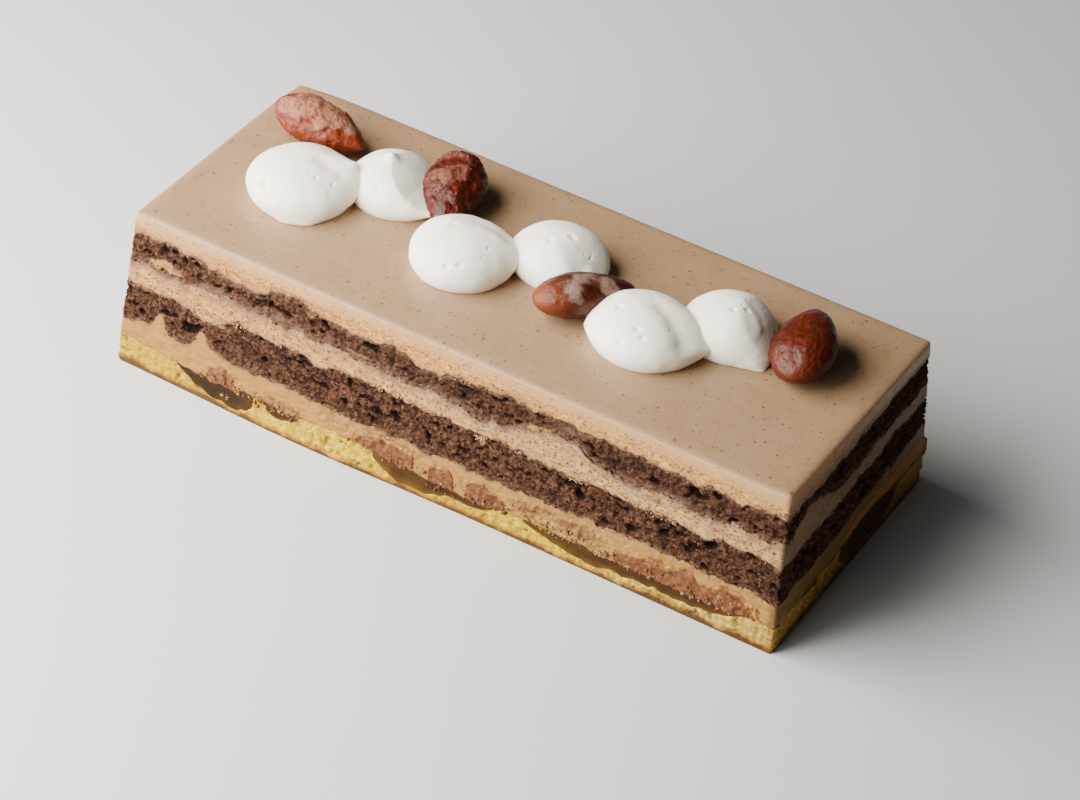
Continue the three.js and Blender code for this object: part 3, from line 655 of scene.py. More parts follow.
# ---- Crumbs -------------------------------------------------------------------------------------
# Where loose bits gather on the front: from and to along, lowest and highest level, and number.
PALE_DRIFTS = [
    (15, 35, 5.4, 6.2, 16), (27, 29.4, 2.8, 4.4, 12), (35, 48, 4.6, 7.4, 40), (63, 100, 5.2, 6.2, 24),
    (97, 107, 5.8, 8.4, 22), (107, 121, 6, 8.4, 40), (104, 121, 5.2, 6, 30), (119, 152, 5.3, 6.3, 80),
    (145, 150, 7.3, 9, 14),
]
BROWN_DRIFTS = [
    (20, 33, 5.8, 8, 26), (35, 48, 4.8, 7.4, 20), (58, 78, 5.2, 8, 36), (78, 85, 3, 4.8, 26),
    (84, 98, 4.4, 7, 34), (98, 121, 5.8, 8, 26), (121, 156, 6, 8, 50),
]
FLAKE_DRIFTS = [
    (24, 31, 21.2, 22.4, 16), (38, 44, 21, 22, 10), (62, 76, 21.4, 22.6, 40), (88, 91, 19.8, 21.6, 30),
    (96, 103, 20.8, 21.8, 14), (110, 114, 20.2, 21.3, 18), (128, 136, 20.6, 21.8, 26),
    (80, 86, 31.6, 32.6, 12),
]


def drift_places(drifts, seed):
    """Random places on the front within each drift, thicker towards its middle level."""
    random = np.random.default_rng(seed)
    places = []
    for start, end, low, high, count in drifts:
        along = random.uniform(start, end, count)
        level = low + (high - low) * random.beta(2, 2, count)
        plan = np.column_stack([along - LENGTH / 2, np.full(count, -WIDTH / 2)])
        spots = stand(plan, level)
        spots[:, 1] -= random.uniform(-0.15, 0.2, count)
        places.append(spots)
    return np.concatenate(places)


def side_places(points, count, seed, near_edges):
    """Random places on a layer's side; with `near_edges`, close to its foot or its top."""
    random = np.random.default_rng(seed)
    rows, around = points.shape[:2]
    depth = random.integers(0, 3, count) if near_edges else random.integers(2, rows - 2, count)
    row = np.where(random.random(count) < 0.5, depth, rows - 1 - depth)
    return points[row, random.integers(0, around, count)]


# ---- Toppings -----------------------------------------------------------------------------------
# Piped dollops: middle, half sizes and height; the features are directions in degrees, round from
# +X and up from the level. Swells run between two directions and have a reach and a share of the
# radius; tails are pointed; facets are flatter sides, of a direction, a reach, a radius of their own
# in shares and the softness of their edge; pits were left by bubbles, with a radius and a depth in mm.
DOLLOPS = [
    (
        (26.2, 29), (11.8, 11.6), 9.3,
        [
            (286, -24, 308, -24, 12, 0.075), (30, 72, 8, 46, 8, -0.05), (52, 66, 34, 44, 10, 0.035),
            (200, 20, 240, 30, 30, 0.03),
        ],
        [(26, 20, 14, 0.3), (34, 42, 9, 0.17)],
        [],
        [(250, 32, 1.3, 0.8), (328, 58, 0.6, 0.3), (348, 42, 0.6, 0.35), (335, 30, 0.4, 0.2)],
    ),
    (
        (42.4, 40.2), (10.2, 9.8), 9.3,
        [
            (166, 80, 165, 80, 7, 0.08), (166, 80, 200, 40, 9, 0.04), (215, 24, 216, 24, 16, 0.1),
            (296, 46, 312, 20, 14, 0.02),
        ],
        [(342, -4, 12, 0.26), (172, 82, 6, 0.06)],
        [(18, 40, 55, 2.2, 0.015)],
        [(270, 40, 0.7, 0.2), (270, 22, 0.5, 0.15), (250, 55, 0.5, 0.15)],
    ),
    (
        (66.6, 27.9), (11.2, 10.8), 9.4,
        [(170, 60, 172, 60, 24, 0.03), (76, 62, 40, 34, 12, -0.055), (50, 66, 20, 32, 10, 0.03)],
        [(26, 14, 15, 0.25), (165, 70, 6, 0.06)],
        [],
        [
            (172, 76, 0.9, 0.4), (280, 28, 0.8, 0.4), (296, 34, 0.7, 0.4), (232, 44, 0.5, 0.2),
            (350, 52, 0.5, 0.25), (330, 44, 0.35, 0.2),
        ],
    ),
    (
        (83.7, 39.1), (10.6, 9.8), 9.2,
        [(280, 66, 312, 20, 9, 0.03), (340, 20, 358, 0, 9, 0.04)],
        [(212, 6, 16, 0.12)],
        [(350, 36, 40, 1.75, 0.06)],
        [(254, 70, 0.9, 0.4), (10, 78, 0.9, 0.4), (356, 38, 0.6, 0.25), (350, 50, 0.4, 0.2)],
    ),
    (
        (110.2, 27.9), (11.7, 10.8), 9.5,
        [(30, 70, 346, 26, 14, -0.1), (60, 62, 30, 30, 12, 0.045)],
        [(14, 2, 17, 0.28), (166, 60, 9, 0.06), (206, -2, 17, 0.07)],
        [],
        [
            (210, 60, 0.8, 0.4), (282, 52, 0.9, 0.45), (292, 42, 0.8, 0.35), (268, 26, 0.9, 0.3),
            (260, -8, 0.6, 0.3), (240, 40, 0.4, 0.2),
        ],
    ),
    (
        (124, 39.6), (10.2, 9.6), 9.3,
        [(215, 20, 216, 20, 20, 0.05), (60, 76, 350, 40, 8, 0.02), (335, -14, 336, -14, 24, 0.13)],
        [(333, -25, 8, 0.22)],
        [(18, 34, 46, 1.8, 0.035)],
        [(294, 78, 0.7, 0.35), (0, 72, 0.7, 0.3), (20, 80, 0.4, 0.2), (280, 50, 0.4, 0.15)],
    ),
]
TUCK = math.radians(25)  # how far a dollop curls in under its widest ring

# Almonds: middle, size, heading, pitch and roll in degrees, then how much sugar crust they carry,
# the direction, in shares of their half size, where it is thickest, and the depth of their creases,
# the height of their lumps and the thickness of the crust in millimetres.
ALMONDS = [
    ((18.9, 46.9), (23.8, 13, 8.8), (-6, 3, -8), 0.05, (0, -0.25, 1), (0.08, 0.26, 0.3)),
    ((54.6, 43.6), (23.6, 13.2, 9.4), (-68, 5, 10), -0.12, (-0.2, -0.4, 0.9), (0.06, 0.36, 0.2)),
    ((95.2, 29.2), (22.4, 12.2, 9), (51, 3, -14), -0.16, (0.16, -0.62, 0.72), (0.05, 0.1, 0.03)),
    ((140.2, 41.3), (22, 14, 9.2), (106, -5, -14), -0.6, (-0.9, -0.3, 0.2), (0.08, 0.16, 0.1)),
]
ALMOND_FINISHES = [  # skin, crust and tip colours, and the roughness of the skin
    ((122, 47, 16), (148, 98, 74), (112, 32, 14), 0.42),
    ((79, 23, 9), (102, 54, 38), (70, 20, 8), 0.36),
    ((72, 26, 8), (148, 118, 104), (118, 56, 23), 0.42),
    ((80, 24, 5), (128, 76, 52), (84, 27, 9), 0.38),
]


def towards(turn, up):
    """Unit vectors `turn` round from +X and `up` above the level, in radians."""
    return np.stack(
        np.broadcast_arrays(np.cos(up) * np.cos(turn), np.cos(up) * np.sin(turn), np.sin(up)), -1
    )


def degrees_from(out, turn, up, turn_end=None, up_end=None):
    """Angle in degrees between each direction and a given one, or the arc from it to another.

    Off the arc's plane the angle is asin(out . normal); beyond its ends it is what lies past them;
    the two are joined as the sides of a right angle."""
    aim = towards(math.radians(turn), math.radians(up))
    if turn_end is None:
        return np.degrees(np.arccos(np.clip(out @ aim, -1, 1)))
    end = towards(math.radians(turn_end), math.radians(up_end))
    normal = np.cross(aim, end)
    normal /= np.linalg.norm(normal)
    ahead = np.cross(normal, aim)
    walked = np.arctan2(out @ ahead, out @ aim)
    length = math.atan2(end @ ahead, end @ aim)
    beyond = np.maximum(np.maximum(-walked, walked - length), 0)
    return np.degrees(np.hypot(np.arcsin(np.clip(out @ normal, -1, 1)), beyond))


def dollop_shell(name, at, half, tall, swells, tails, facets, pits):
    """A piped dollop: a dome stretched to its half sizes, flat where it rests.

    Its radius is 1, plus exp(-(angle / reach)^2) for a swell and exp(-angle / reach) for a tail.
    A facet is part of a larger ball that meets the dome at its reach, whose radius is
    (R^2 - d^2 sin^2 angle)^0.5 - d cos angle; the lesser of the two radii is taken, and where they are
    nearly equal it is rounded by softness * share * (1 - share). Each pit is a dent with a small raised
    rim, and more small ones are strewn at random."""
    up = np.concatenate([np.linspace(-TUCK, 1.2, 110), np.linspace(1.2, np.pi / 2, 26)[1:-1]])
    turn = np.linspace(0, 2 * np.pi, 260, endpoint=False)
    out = towards(turn[None, :], up[:, None])
    radius = np.ones(out.shape[:2])
    dome = tall / (1 + math.sin(TUCK))
    mean_radius = (half[0] + half[1] + dome) / 3
    for facet_turn, facet_up, reach, ball, soft in facets:
        angle = np.radians(degrees_from(out, facet_turn, facet_up))
        edge = math.radians(reach)
        away = math.sqrt(ball**2 - math.sin(edge) ** 2) - math.cos(edge)
        flat = np.sqrt(ball**2 - (away * np.sin(angle)) ** 2) - away * np.cos(angle)
        share = np.clip(0.5 + 0.5 * (radius - flat) / soft, 0, 1)
        radius += share * (flat - radius) - soft * share * (1 - share)
    random = np.random.default_rng(round(10 * at[0]))
    strewn = zip(random.uniform(0, 360, 16), random.uniform(-5, 75, 16), random.uniform(0.2, 0.42, 16))
    pits = [*pits, *((pit_turn, pit_up, wide, 0.4 * wide) for pit_turn, pit_up, wide in strewn)]
    for *arc, reach, share in swells:
        radius += share * bell(degrees_from(out, *arc), reach)
    for tail_turn, tail_up, reach, share in tails:
        angle = degrees_from(out, tail_turn, tail_up)
        radius += share * np.exp(-(np.hypot(angle, 2.0) - 2.0) / reach) * ease(3.5 * reach - angle, 0, reach)
    for pit_turn, pit_up, wide, depth in pits:
        distance = np.radians(degrees_from(out, pit_turn, pit_up)) * mean_radius
        rim = 0.12 * bell(distance - 1.25 * wide, 0.35 * wide)
        radius -= depth / mean_radius * (bell(distance, 0.75 * wide) - rim)
    spot = out * mean_radius + (at[0], at[1], 0)
    radius += 0.02 * grain(spot, 8, 97) + 0.009 * grain(spot, 3.0, 101, octaves=2)
    points = out * radius[..., None] * (half[0], half[1], dome)
    points[..., 2] += dome * math.sin(TUCK)
    points[..., 2] = np.maximum(points[..., 2], 0)
    points[0, :, 2] = 0
    place = np.array([at[0] - LENGTH / 2, at[1] - WIDTH / 2, HEIGHT])
    top = points[-1].mean(0)
    return loft(name, points + place, [place, top + place])


def almond_points(at, size, turned, sugar, sugar_side, uneven):
    """Points, tips and traits of an almond: ovals whose size follows sin(pi * share^0.8)^0.62.

    The skin has long creases, where fine grain stretched along it crosses 0, and lumps of boiled
    sugar. It is turned, pitched and rolled, and set down on its lowest point."""
    share = (1 - np.cos(np.linspace(0, np.pi, 150)[1:-1])) / 2
    turn = np.linspace(0, 2 * np.pi, 170, endpoint=False)
    full = (np.sin(np.pi * share**0.8) ** 0.62)[:, None]
    long, wide, thick = size
    x = np.broadcast_to(long * (share[:, None] - 0.5), (len(share), len(turn)))
    skin = np.stack([x, wide / 2 * full * np.cos(turn), thick / 2 * full * np.sin(turn)], -1)
    unit = skin / (long / 2, wide / 2, thick / 2)
    seed = round(at[0])
    spot = skin + (0, 0, 40 * seed)
    facing = unit @ (np.array(sugar_side) / np.linalg.norm(sugar_side))
    patchy = (0.25 + 1.5 * uneven[2]) * grain(spot, 4.5, seed, octaves=3)
    crust = ease(patchy + 0.8 * facing + sugar, 0.25, 0.75)
    lengthwise = np.stack([x * 0.14, 2.4 * np.cos(turn) * full**0.25, 2.4 * np.sin(turn) * full**0.25], -1)
    crease = np.abs(grain(lengthwise + (0, 0, 40 * seed), 0.62, 103, octaves=2))
    lump = grain(spot, 2.1, 107, octaves=4, fall=0.6)
    swell = uneven[0] * (ease(crease, 0.0, 0.4) - 1) * (1 - 0.85 * crust)
    swell += crust * uneven[2] * (1 + 0.4 * grain(spot, 0.7, 113, octaves=2)) + uneven[1] * lump
    swell += 0.3 * grain(spot, 5.5, 109) + 0.03 * grain(spot, 0.9, 111, octaves=2)
    away = skin / np.array([long * 0.7, wide / 2, thick / 2]) ** 2
    away /= np.linalg.norm(away, axis=-1, keepdims=True)
    points = skin + away * (swell * np.minimum(1, full * 1.4))[..., None]
    heading, pitch, roll = (math.radians(angle) for angle in turned)
    matrix = Matrix.Rotation(heading, 3, "Z") @ Matrix.Rotation(pitch, 3, "Y") @ Matrix.Rotation(roll, 3, "X")
    matrix = np.array(matrix)
    tips = np.array([(-long / 2, 0, 0), (long / 2, 0, 0)])
    points, tips, away = points @ matrix.T, tips @ matrix.T, away @ matrix.T
    place = np.array([at[0] - LENGTH / 2, at[1] - WIDTH / 2, HEIGHT - points[..., 2].min()])
    traits = {"sugar": crust, "crease": 1 - ease(crease, 0.0, 0.3), "facing": -unit[..., 0]}
    return points + place, tips + place, traits


# ---- Materials ----------------------------------------------------------------------------------
def tone(red, green, blue):
    """A colour from display values of 0 to 255, made linear."""
    channels = np.array([red, green, blue]) / 255
    linear = np.where(channels <= 0.04045, channels / 12.92, ((channels + 0.055) / 1.055) ** 2.4)
    return (*linear.tolist(), 1.0)


def feed(socket, value):
    """Links a shader value to a socket, or sets the socket to a plain number or colour."""
    if isinstance(value, Shade):
        socket.id_data.links.new(value.socket, socket)
    else:
        socket.default_value = value


def add_node(tree, kind, inputs, output=0, **settings):
    """A node: its settings first, then its sockets, by name or number. Gives an output, if it has one."""
    node = tree.nodes.new(kind)
    for name, value in settings.items():
        setattr(node, name, value)
    for name, value in inputs.items():
        feed(node.inputs[name], value)
    return Shade(node.outputs[output]) if node.outputs else None


class Shade:
    """A value in a material. Sums and products of shades add Math nodes."""

    def __init__(self, socket):
        self.socket = socket

    def math(self, operation, *values):
        inputs = dict(enumerate(values))
        return add_node(self.socket.id_data, "ShaderNodeMath", inputs, operation=operation)

    def __add__(self, other):
        return self.math("ADD", self, other)

    def __sub__(self, other):
        return self.math("SUBTRACT", self, other)

    def __rsub__(self, other):
        return self.math("SUBTRACT", other, self)

    def __mul__(self, other):
        return self.math("MULTIPLY", self, other)

    def __truediv__(self, other):
        return self.math("DIVIDE", self, other)

    __radd__ = __add__
    __rmul__ = __mul__

    def larger(self, other):
        return self.math("MAXIMUM", self, other)

    def above(self, low, high):
        """0 below `low`, 1 above `high`, smooth between them."""
        inputs = {"Value": self, "From Min": low, "From Max": high}
        smooth = {"interpolation_type": "SMOOTHSTEP"}
        return add_node(self.socket.id_data, "ShaderNodeMapRange", inputs, "Result", **smooth)

    def below(self, low, high):
        """1 below `low`, 0 above `high`, smooth between them."""
        return 1 - self.above(low, high)


class Recipe:
    """A material for one of the cake's finishes, with the colour painted so far."""

    def __init__(self, name):
        self.material = bpy.data.materials.new(name)
        self.material.use_nodes = True
        self.tree = self.material.node_tree
        self.tree.nodes.clear()
        self.place = self.add("ShaderNodeTexCoord", output="Object")

    def add(self, kind, inputs=None, output=0, **settings):
        """A node in this material."""
        return add_node(self.tree, kind, inputs or {}, output, **settings)

    def trait(self, name):
        """A number stored with the piece's points."""
        return self.add("ShaderNodeAttribute", output="Fac", attribute_name=name)

    def past(self, axis, start, end):
        """0 before `start` millimetres along an axis of the frame, 1 after `end`."""
        place = self.add("ShaderNodeSeparateXYZ", {"Vector": self.place}, axis)
        return place.above(start * MM, end * MM)

    def shaded_end_face(self):
        """1 on the right end's face, whose colour the recipes darken there as painted shade, and 0 on the
        long sides.
        """
        return self.past("X", LENGTH / 2 - 2.6, LENGTH / 2 - 1.2)

    def spread(self, *size):
        """Object coordinates in millimetres divided by a size, one number or one for each axis."""
        scale = [1 / (MM * width) for width in (size if len(size) == 3 else size * 3)]
        return self.add("ShaderNodeMapping", {"Vector": self.place, "Scale": scale})

    def cloud(self, *size, detail=3.0, roughness=0.55):
        """Soft noise from 0 to 1 with lumps `size` millimetres across, one number or three."""
        inputs = {"Vector": self.spread(*size), "Scale": 1.0, "Detail": detail, "Roughness": roughness}
        return self.add("ShaderNodeTexNoise", inputs)

    def waver(self, by, *size, **looks):
        """The same noise from -by / 2 to by / 2."""
        return (self.cloud(*size, **looks) - 0.5) * by

    def scatter(self, place, channel=None):
        """Distance to the nearest of points scattered one to a cell, or a channel of its own colour."""
        inputs = {"Vector": place, "Scale": 1.0}
        if channel is None:
            return self.add("ShaderNodeTexVoronoi", inputs, "Distance")
        colour = self.add("ShaderNodeTexVoronoi", inputs, "Color")
        return self.add("ShaderNodeSeparateColor", {"Color": colour}, channel)

    def specks(self, spacing, radius, offset=0.0, flat=1.0):
        """Dots up to `radius` millimetres, one to a cell `spacing` wide, each of a random size.

        Below 1, `flat` makes both lower than they are wide."""
        vectors = {0: self.spread(spacing, spacing, spacing * flat), 1: (offset, offset * 1.7, offset * 0.6)}
        place = self.add("ShaderNodeVectorMath", vectors, operation="ADD")
        reach = self.scatter(place, "Red") * (radius / spacing) + 0.001
        return (self.scatter(place) / reach).below(0.7, 1.1)

    def chance(self, spacing):
        """A number from 0 to 1 that is the same all over each random cell `spacing` wide."""
        return self.scatter(self.spread(spacing), "Green")

    def gaps(self, spacing):
        """1 in the gaps between random granules about `spacing` wide, 0 on them."""
        return self.scatter(self.spread(spacing)).above(0.5, 0.8)

    def mix(self, share, first, second):
        """A colour between two, by share. Each is a shade or three display values.

        A Mix node takes its two colours at sockets 6 and 7, and gives a colour at output 2."""
        first, second = (tone(*one) if isinstance(one, tuple) else one for one in (first, second))
        return self.add("ShaderNodeMix", {0: share, 6: first, 7: second}, 2, data_type="RGBA")

    def start(self, share, first, second):
        """Makes a mix the recipe's own colour."""
        self.colour = self.mix(share, first, second)

    def paint(self, share, colour):
        """Lays another colour over the recipe's own, by share."""
        self.colour = self.mix(share, self.colour, colour)

    def bump(self, height, millimetres, strength=1.0, under=None):
        """Normals tilted by a height from 0 to 1 that stands for so many millimetres."""
        inputs = {"Height": height, "Distance": millimetres * MM, "Strength": strength}
        return self.add("ShaderNodeBump", {**inputs, "Normal": under} if under else inputs)

    def finish(self, soak=0.0, soak_colour=(1.0, 0.6, 0.35), soak_depth=1.2, **sockets):
        """Feeds the Principled shader; `soak` is how much light sinks in, `soak_depth` how deep in
        millimetres. Socket names are written with underscores."""
        inputs = {name.replace("_", " "): value for name, value in sockets.items()}
        if soak:
            inputs["Subsurface Weight"] = soak
            inputs["Subsurface Radius"] = soak_colour
            inputs["Subsurface Scale"] = soak_depth * MM
        shader = self.add("ShaderNodeBsdfPrincipled", {**inputs, "Base Color": self.colour}, "BSDF")
        self.add("ShaderNodeOutputMaterial", {"Surface": shader})
        return self


GLAZE_TOP, GLAZE_SIDE = (151, 122, 91), (175, 131, 77)
TOP_CREAM_BODY = (177, 118, 54)
MIDDLE_CREAM_BODY = (162, 117, 64)
LOWER_CREAM_BODY = (150, 101, 37)
CREAM_PALING = (1.0, 1.11, 1.26)  # how the creams change towards the right end
SPICE, DARK_SPICE = (120, 72, 25), (70, 38, 17)
# The last of these is the colour of painted shade in the crumb's pores, creases and holes.
CRUMB_DARK, CRUMB_LIGHT, CRUMB_PAINTED_SHADE = (32, 14, 6), (100, 65, 46), (24, 9, 3)
# Colour of painted highlights on some granules of the chocolate crumb.
CRUMB_PAINTED_HIGHLIGHT = (118, 82, 60)
SMEAR = (96, 71, 57)
CRUMB_TONES = ((36, 19, 12), (90, 56, 38))
FLAKE_TONES = ((148, 112, 82), (196, 162, 132))
PALE_TONES = ((104, 70, 38), (166, 128, 88))
PRALINE_TONES = ((72, 38, 14), (120, 76, 34))
SUGAR_TONES = ((120, 68, 50), (176, 128, 106))
FLAT_DOTS = 0.7  # height of the spice dots in the creams, in shares of their width


def times(colour, share):
    """A colour with its three display values multiplied by a share."""
    return tuple(share * value for value in colour)


def chocolate_recipe(name, smear_and_shade):
    """Dark crumb in granules of many browns, with cream dragged over it. Its pores, holes and the creases
    between its granules are darkened as painted shade, some granules are lightened as painted
    highlights, and it darkens towards the right end as painted shade.

    Its second argument is how strongly the creams above and below it are drawn over its edges, and
    also how strongly it darkens towards the right end."""
    recipe = Recipe(name)
    deep, rise, drop = map(recipe.trait, ("deep", "rise", "drop"))
    crumb = recipe.cloud(0.7, 0.7, 0.5, detail=5, roughness=0.68)
    shade = crumb.above(0.35, 0.67) * 0.55 + recipe.cloud(2.4, 2.4, 1.3, detail=4).above(0.35, 0.65) * 0.25
    recipe.start(shade + recipe.chance(0.5) * 0.2, CRUMB_DARK, CRUMB_LIGHT)
    # Painted shade in the creases between granules.
    recipe.paint(recipe.gaps(0.7) * 0.4, CRUMB_PAINTED_SHADE)
    # Painted highlights: some random granules are lightened as if lit.
    recipe.paint(recipe.chance(0.8).above(0.78, 0.9) * 0.35, CRUMB_PAINTED_HIGHLIGHT)
    # Painted shade in holes, where a coarser noise is high.
    recipe.paint(recipe.cloud(1.0, 1.0, 0.75, detail=4).above(0.55, 0.62) * 0.9, CRUMB_PAINTED_SHADE)
    recipe.paint(recipe.specks(1.1, 0.26) * 0.3, MIDDLE_CREAM_BODY)
    # Painted shade: the crumb darkens towards the right end, by the same strength as the smear.
    recipe.paint(recipe.past("X", -60, 60) * (0.35 * smear_and_shade), CRUMB_DARK)
    # Painted shade in the relief's pores and hollows, by their depth.
    recipe.paint(deep.above(0.0, 0.5), CRUMB_PAINTED_SHADE)
    drag = recipe.cloud(5, 5, 1.3, detail=5, roughness=0.65)
    foot, head = rise.below(0.0, 2.2), drop.below(0.0, 1.4)
    veil = recipe.trait("veil").larger(foot * smear_and_shade).larger(head * (0.7 * smear_and_shade))
    veil = veil * (0.35 + drag.above(0.34, 0.56) * 0.65)
    recipe.paint(veil * deep.below(0.25, 0.8) * (0.7 + crumb * 0.5), SMEAR)
    ragged = recipe.waver(1.6, 0.9, 0.9, 0.6, detail=4, roughness=0.65)
    edge = rise.below(0.0, 0.9).larger(drop.below(0.0, 0.7))
    lens = (recipe.trait("lens").larger(edge * 0.55) + ragged).above(0.25, 0.95)
    cream = recipe.mix(recipe.specks(0.8, 0.35, 3.3) * 0.7, MIDDLE_CREAM_BODY, DARK_SPICE)
    recipe.paint(lens, recipe.mix(drag.above(0.45, 0.6) * 0.6, cream, SMEAR))
    normal = recipe.bump(recipe.cloud(0.3, detail=4), 0.3)
    return recipe.finish(Roughness=0.9, Specular_IOR_Level=0.12, Normal=normal)


def cream_recipe(name, body, spice, smudged, plain_top=False):
    """Set cream, cut smooth, with dots of spice in it and sponge smudged into its foot and its head.

    `spice` and the two numbers of `smudged` are strengths; a plain top has less spice near it."""
    recipe = Recipe(name)
    rise, drop, rough = map(recipe.trait, ("rise", "drop", "rough"))
    along, paler = recipe.past("X", -60, 60), np.multiply(body, CREAM_PALING)
    light, dark = (
        recipe.mix(along, times(body, share), times(paler, share)) for share in (1 + 0.12 * spice, 0.92)
    )
    recipe.start(recipe.cloud(3, 3, 1.0, detail=4).above(0.35, 0.65), light, dark)
    keep = drop.above(-0.6, 1.2) * spice if plain_top else spice
    recipe.paint(recipe.cloud(0.7, 0.7, 0.45, detail=4).above(0.5, 0.6) * 0.62 * keep, SPICE)
    recipe.paint(recipe.specks(0.8, 0.48, 0.0, FLAT_DOTS) * 0.85 * keep, SPICE)
    recipe.paint(recipe.specks(1.0, 0.48, 7.3, FLAT_DOTS) * 0.85 * keep, DARK_SPICE)
    foot, head = rise.below(0.0, 1.8), drop.below(0.0, 3.0)
    dragged = recipe.cloud(7, 7, 1.2, detail=5, roughness=0.65).above(0.36, 0.6)
    edge = (foot * smudged[0]).larger(head * smudged[1]).larger(recipe.trait("smudge"))
    recipe.paint(edge * (0.3 + dragged * 0.65), SMEAR)
    sides = [trait.below(0.0, 0.9) for trait, share in zip((rise, drop), smudged) if share]
    near = sides[0].larger(sides[-1])
    ragged = recipe.waver(1.5, 0.8, 0.8, 0.55, detail=4, roughness=0.65)
    crumb = (near * 0.6 + edge * dragged * 0.3 + ragged).above(0.38, 0.75)
    recipe.paint(crumb * 0.85, times(CRUMB_LIGHT, 0.75))
    nutty = (rough + recipe.waver(2.2, 1.6, 1.6, 1.0, detail=5, roughness=0.65)).above(0.55, 0.95)
    recipe.paint(nutty * rough * 0.85, times(PRALINE_TONES[1], 0.92))
    # Painted shade: the right end's face is darkened.
    recipe.paint(recipe.shaded_end_face() * 0.7, times(body, 0.58))
    # Painted shade: the crumbly praline zones darken in their deepest hollows.
    recipe.paint(rough * recipe.trait("deep").above(0.1, 0.45) * 0.8, PRALINE_TONES[0])
    normal = recipe.bump(recipe.cloud(1.2, 1.2, 0.35), 0.12, 0.5)
    normal = recipe.bump(recipe.cloud(0.5, detail=4), 0.25, rough, normal)
    return recipe.finish(Roughness=0.5, Specular_IOR_Level=0.3, Normal=normal)


def glaze_recipe():
    """Poured glaze: even beige, softly glossy, with many small dots of red brown spice."""
    recipe = Recipe("glaze")
    top, low = recipe.past("Z", HEIGHT - 1.3, HEIGHT - 0.4), 1 - recipe.past("Z", 35.2, 37.8)
    recipe.start(top, GLAZE_SIDE, GLAZE_TOP)
    recipe.paint(recipe.cloud(14).above(0.35, 0.65) * 0.06, SPICE)
    recipe.paint(recipe.cloud(10, 6, 10, detail=4).above(0.48, 0.68) * 0.3, times(GLAZE_TOP, 1.08))
    recipe.paint(recipe.specks(3.0, 1.3, 9.7) * 0.14, SPICE)
    recipe.paint(recipe.specks(1.0, 0.3, 3.1) * 0.55, SPICE)
    recipe.paint(recipe.specks(1.9, 0.42, 5.2) * 0.65, times(SPICE, 0.7))
    recipe.paint(recipe.cloud(0.9, 0.9, 0.6).above(0.5, 0.64) * low * 0.7, times(GLAZE_SIDE, 0.84))
    recipe.paint(recipe.specks(0.8, 0.44, 0.0, FLAT_DOTS) * low * 0.8, SPICE)
    # Painted shade: the glaze's side at the right end is darkened to ochre.
    recipe.paint(recipe.shaded_end_face() * (1 - top) * 0.6, times(SPICE, 0.9))
    return recipe.finish(
        soak=0.35,
        soak_colour=(1.0, 0.8, 0.6),
        soak_depth=4.0,
        Roughness=0.3 + recipe.cloud(3.0, detail=4).above(0.35, 0.65) * 0.14,
        Specular_IOR_Level=0.4,
        Normal=recipe.bump(recipe.cloud(2.2), 0.05, 0.35),
    )


def yellow_recipe():
    """Yellow sponge, moist and golden in places, with a browned underside of uneven depth."""
    recipe = Recipe("yellow_sponge")
    moist, lemon = recipe.past("X", 20, 60), 1 - recipe.past("X", -78, -40)
    light = recipe.mix(moist, recipe.mix(lemon, (197, 167, 6), (174, 137, 0)), (188, 161, 72))
    dark = recipe.mix(moist, (154, 124, 2), (152, 125, 44))
    recipe.start(recipe.cloud(0.9, detail=4).above(0.3, 0.7), dark, light)
    recipe.paint(recipe.cloud(9, 9, 3).above(0.5, 0.7) * 0.35, (150, 98, 16))
    # Painted shade: darker in the crumb's pores, by their depth.
    recipe.paint(recipe.trait("deep").above(0.0, 0.5) * 0.7, (112, 76, 8))
    browned = recipe.trait("rise") + recipe.waver(3.2, 5, detail=4) + recipe.waver(1.0, 0.9)
    browned = browned - moist * 0.35 - lemon * 0.8
    recipe.paint(browned.below(1.0, 2.1) * 0.8, (138, 93, 3))
    recipe.paint(browned.below(0.3, 1.2) * 0.9, (60, 29, 0))
    # Painted shade: the right end's face is darkened to deep orange.
    recipe.paint(recipe.shaded_end_face() * 0.5, (120, 72, 0))
    return recipe.finish(
        soak=0.1,
        soak_colour=(1.0, 0.7, 0.2),
        Roughness=0.55 - moist * 0.18,
        Specular_IOR_Level=0.22,
        Normal=recipe.bump(recipe.cloud(0.4), 0.2, 0.8),
    )


def apple_recipe():
    """Cooked apple: moist, olive brown, yellower below and towards the thin ends."""
    recipe = Recipe("cooked_apple")
    up, run = map(recipe.trait, ("up", "run"))
    recipe.start(recipe.cloud(4, 4, 1.5).above(0.3, 0.7), (46, 27, 5), (63, 39, 7))
    light = up.below(0.0, 0.6) * 0.75 + run.below(0.0, 0.3) * 0.35
    recipe.paint(light * recipe.cloud(3, 3, 1.2).above(0.2, 0.7), (100, 71, 14))
    recipe.paint(run.above(0.8, 1.0) * 0.4, (96, 52, 6))
    recipe.paint((1 - recipe.past("X", -60, -20)) * 0.75, (28, 17, 3))
    normal = recipe.bump(recipe.cloud(0.8), 0.08, 0.35)
    return recipe.finish(Roughness=0.4, Specular_IOR_Level=0.1, Normal=normal)


